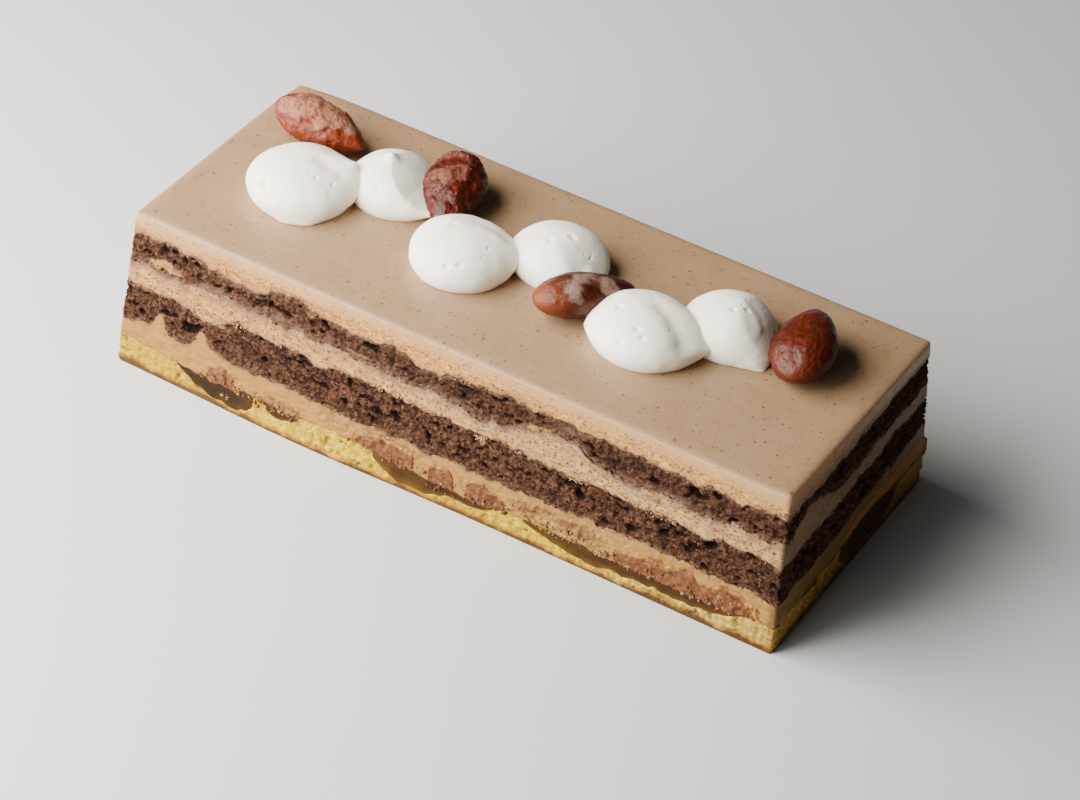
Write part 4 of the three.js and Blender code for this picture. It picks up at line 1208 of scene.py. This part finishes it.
def praline_recipe():
    """A brown paste of sugar and nuts, rubbed into the cream round it."""
    recipe = Recipe("praline")
    up, run, deep = map(recipe.trait, ("up", "run", "deep"))
    recipe.start(recipe.cloud(1.4, detail=5).above(0.32, 0.68), (78, 41, 13), (114, 68, 28))
    # Painted shade: darker in the cracks between the lumps, by their depth.
    recipe.paint(deep.above(0.05, 0.4) * 0.7, (70, 32, 12))
    recipe.paint(recipe.specks(1.2, 0.45) * 0.5, (136, 88, 46))
    edge = up.above(0.6, 1.0).larger(run.below(0.0, 0.14)).larger(run.above(0.88, 1.0))
    patches = recipe.waver(2.4, 3.2, 3.2, 1.6, detail=5, roughness=0.65)
    patches = patches + recipe.past("X", 20, 45) * 0.25
    recipe.paint((edge * 0.8 - 0.2 + patches).above(0.3, 0.7) * 0.9, LOWER_CREAM_BODY)
    normal = recipe.bump(recipe.cloud(0.5), 0.15, 0.7)
    return recipe.finish(Roughness=0.65, Specular_IOR_Level=0.3, Normal=normal)


def dollop_recipe():
    """Whipped cream: warm white and satin."""
    recipe = Recipe("white_cream")
    recipe.start(recipe.cloud(6).above(0.3, 0.7), (253, 248, 232), (251, 243, 221))
    return recipe.finish(
        soak=0.15,
        soak_colour=(1.0, 0.85, 0.6),
        soak_depth=1.4,
        Roughness=0.42,
        Specular_IOR_Level=0.4,
        Normal=recipe.bump(recipe.cloud(0.9), 0.04, 0.3),
    )


def almond_recipe(name, skin, crust, tip, roughness):
    """Red brown skin under cooked sugar, pale where the crust is thick, with one end lighter."""
    recipe = Recipe(name)
    recipe.start(recipe.cloud(2.0, detail=4).above(0.3, 0.7), skin, times(skin, 0.7))
    # Painted shade: the skin darkens in its creases.
    recipe.paint(recipe.trait("crease") * 0.4, times(skin, 0.5))
    end = (recipe.trait("facing") + recipe.waver(0.8, 2.4, detail=4)).above(0.3, 1.0)
    recipe.paint(end * 0.8, tip)
    patch = (recipe.trait("sugar") + recipe.waver(1.1, 1.6, detail=5)).above(0.2, 1.0)
    grains = recipe.cloud(0.5, detail=4).above(0.45, 0.65)
    recipe.paint(patch * 0.85, recipe.mix(grains * 0.5, crust, times(crust, 0.7)))
    normal = recipe.bump(recipe.cloud(0.5, detail=4), 0.18, 0.7)
    return recipe.finish(Roughness=roughness + patch * 0.25, Specular_IOR_Level=0.24, Normal=normal)


def bits_recipe(name, first, second, roughness=0.7):
    """Loose bits, each with a tint of its own between two colours."""
    recipe = Recipe(name)
    recipe.start(recipe.trait("tint"), first, second)
    recipe.paint(recipe.cloud(0.4).above(0.4, 0.7) * 0.4, times(first, 0.7))
    normal = recipe.bump(recipe.cloud(0.3), 0.15, 0.6)
    return recipe.finish(0.1, soak_depth=0.5, Roughness=roughness, Specular_IOR_Level=0.25, Normal=normal)


# ---- Putting the cake together ------------------------------------------------------------------
# Kinds of layer: the relief of the cut side, the outline that it follows, and the slot.
KINDS = {
    "yellow": (yellow_relief, PLAIN, "yellow_sponge"),
    "cream": (cream_relief, PLAIN, "cream"),
    "chocolate": (chocolate_relief, FINE, "chocolate_sponge"),
}


def make_layers():
    """Makes the layers, what is set into them and the glaze; gives the points of the layers' sides."""
    lower_cream = cream_recipe("lower_cream", LOWER_CREAM_BODY, spice=0.35, smudged=(0.0, 0.25))
    middle_cream = cream_recipe("middle_cream", MIDDLE_CREAM_BODY, spice=1.0, smudged=(0.4, 0.95))
    top_cream = cream_recipe("top_cream", TOP_CREAM_BODY, spice=0.9, smudged=(0.8, 0.0), plain_top=True)
    lower_chocolate = chocolate_recipe("lower_chocolate", smear_and_shade=0.25)
    upper_chocolate = chocolate_recipe("upper_chocolate", smear_and_shade=0.9)
    layers = [  # name, kind, recipe, what is set into it, and the solid that it replaces, upwards
        ("yellow_layer", "yellow", yellow_recipe(), APPLES, "base_sponge"),
        ("lower_cream_layer", "cream", lower_cream, PRALINES, "lower_cream"),
        ("lower_chocolate_layer", "chocolate", lower_chocolate, {}, "lower_chocolate_sponge"),
        ("middle_cream_layer", "cream", middle_cream, {}, "middle_cream"),
        ("upper_chocolate_layer", "chocolate", upper_chocolate, {}, "upper_chocolate_sponge"),
        ("top_cream_layer", "cream", top_cream, {}, "top_cream"),
    ]
    sides = {}
    for edges, (name, kind, recipe, insets, node) in zip(itertools.pairwise(BOUNDARIES), layers):
        relief, outline, slot = KINDS[kind]
        points, traits, levels = layer_side(*edges, relief, outline, insets.values())
        dress(layer_shell(name, points, traits, levels), recipe, slot, node)
        sides[name] = points
    apple, praline = apple_recipe(), praline_recipe()
    for name, inset in APPLES.items():
        dress(inset.shell(f"cooked_{name}", apple_relief), apple, "cooked_apple", name)
    for name, inset in PRALINES.items():
        dress(inset.shell(f"grainy_{name}", praline_relief), praline, "praline", name)
    dress(glaze_shell("poured_glaze"), glaze_recipe(), "glaze", "glaze")
    return sides


def scatter_crumbs(sides):
    """Loose bits on the cut sides, in one piece for each kind."""
    random = np.random.default_rng(17)
    lower, upper = sides["lower_chocolate_layer"], sides["upper_chocolate_layer"]
    drawn = [(lower, 300, 21, False), (lower, 600, 22, True), (upper, 200, 23, False), (upper, 600, 24, True)]
    places = np.concatenate([side_places(*one) for one in drawn])
    crumbs = lumps("chocolate_crumbs", places, random.uniform(0.08, 0.26, len(places)), 25)
    dress(crumbs, bits_recipe("chocolate_crumb", *CRUMB_TONES, 0.85), "chocolate_sponge")
    places = np.concatenate([side_places(lower[-4:], 90, 26, True), drift_places(FLAKE_DRIFTS, 32)])
    flakes = lumps("cream_flakes", places, random.uniform(0.08, 0.25, len(places)), 27, 0.5)
    dress(flakes, bits_recipe("cream_flake", *FLAKE_TONES), "cream")
    places = drift_places(PALE_DRIFTS, 28)
    crumbs = lumps("pale_crumbs", places, 0.1 + 0.34 * random.random(len(places)) ** 2, 29, 0.7)
    dress(crumbs, bits_recipe("pale_crumb", *PALE_TONES, 0.6), "cream")
    places = drift_places(BROWN_DRIFTS, 30)
    crumbs = lumps("praline_crumbs", places, 0.1 + 0.4 * random.random(len(places)) ** 2, 31, 0.7)
    dress(crumbs, bits_recipe("praline_crumb", *PRALINE_TONES, 0.6), "praline")


def set_toppings():
    """Makes the dollops and the almonds, and sugar crystals where the almonds' crust is thick."""
    white = dollop_recipe()
    for number, sizes in enumerate(DOLLOPS, 1):
        dress(dollop_shell(f"piped_dollop_{number}", *sizes), white, "white_cream", f"dollop_{number}")
    random = np.random.default_rng(41)
    crystals = []
    for number, (almond, finish) in enumerate(zip(ALMONDS, ALMOND_FINISHES), 1):
        name = f"sugared_almond_{number}"
        points, tips, traits = almond_points(*almond)
        dress(loft(name, points, tips, traits), almond_recipe(name, *finish), "almond", f"almond_{number}")
        sugared = points[traits["sugar"] > 0.45]
        count = round(min(90, len(sugared) / 30) * min(1, almond[-1][2] / 0.2))
        crystals.append(sugared[random.integers(0, len(sugared), count)])
    places = np.concatenate(crystals)
    sugar = lumps("sugar_crystals", places, random.uniform(0.06, 0.2, len(places)), 43)
    dress(sugar, bits_recipe("sugar_crystal", *SUGAR_TONES, 0.25), "almond")


# ---- Stage, light and camera --------------------------------------------------------------------
# The azimuth is from straight in front of the long side, round towards the right end.
CAMERA_AZIMUTH, CAMERA_ELEVATION, CAMERA_ROLL = (math.radians(a) for a in (27.34, 38.66, 5.74))
CAMERA_DISTANCE = 795
CAMERA_AIM = (7.1, -3.8, 11.0)
CAMERA_LENS, PICTURE_WIDTH = 125.85, 36
FLOOR_HALF = 3.0  # half its width, in metres
DAYLIGHT, SKY = (1.0, 0.98, 0.95), (0.97, 0.98, 1.0, 1.0)
SKY_STRENGTH = 0.05


def add_floor():
    """A plain pale floor, level with the underside."""
    corners = [(FLOOR_HALF * x, FLOOR_HALF * y, 0) for x, y in ((-1, -1), (1, -1), (1, 1), (-1, 1))]
    mesh = bpy.data.meshes.new("floor")
    mesh.from_pydata(corners, [], [(0, 1, 2, 3)])
    floor = bpy.data.objects.new("floor", mesh)
    bpy.context.scene.collection.objects.link(floor)
    recipe = Recipe("pale_floor")
    recipe.start(recipe.cloud(60), (206, 206, 204), (202, 202, 200))
    floor.data.materials.append(recipe.finish(Roughness=0.6).material)


def add_softbox(name, azimuth, elevation, distance, size, power, colour):
    """A square lamp that looks at the origin from an azimuth, round from +X, and an elevation, both in
    degrees; its distance and size are in metres and its power in watts."""
    lamp = bpy.data.lights.new(name, "AREA")
    lamp.size, lamp.energy, lamp.color = size, power, colour
    holder = bpy.data.objects.new(name, lamp)
    away = Vector(towards(math.radians(azimuth), math.radians(elevation)).tolist())
    turned = away.to_track_quat("Z", "Y").to_matrix().to_4x4()
    holder.matrix_world = Matrix.Translation(away * distance) @ turned
    bpy.context.scene.collection.objects.link(holder)


def add_lights():
    """A window at the left front, a weaker fill in front of the bar, and a very dim sky."""
    add_softbox("window", 218, 35, distance=0.38, size=0.43, power=8.7, colour=DAYLIGHT)
    add_softbox("front_fill", 254, 12, distance=0.85, size=0.6, power=5.5, colour=DAYLIGHT)
    world = bpy.data.worlds.new("studio")
    world.use_nodes = True
    sky = world.node_tree.nodes["Background"].inputs
    sky["Color"].default_value = SKY
    sky["Strength"].default_value = SKY_STRENGTH
    bpy.context.scene.world = world


def add_camera():
    """A camera that looks at its aim point from its azimuth and elevation, rolled about that line."""
    back = Vector(towards(CAMERA_AZIMUTH - math.pi / 2, CAMERA_ELEVATION).tolist())
    level_right = (-back).cross(Vector((0, 0, 1))).normalized()
    level_up = level_right.cross(-back)
    right = math.cos(CAMERA_ROLL) * level_right + math.sin(CAMERA_ROLL) * level_up
    up = math.cos(CAMERA_ROLL) * level_up - math.sin(CAMERA_ROLL) * level_right
    lens = bpy.data.cameras.new("camera")
    lens.lens, lens.sensor_width = CAMERA_LENS, PICTURE_WIDTH
    camera = bpy.data.objects.new("camera", lens)
    place = (Vector(CAMERA_AIM) + back * CAMERA_DISTANCE) * MM
    camera.matrix_world = Matrix.Translation(place) @ Matrix((right, up, back)).transposed().to_4x4()
    bpy.context.scene.collection.objects.link(camera)
    bpy.context.scene.camera = camera


scatter_crumbs(make_layers())
set_toppings()
add_floor()
add_lights()
add_camera()
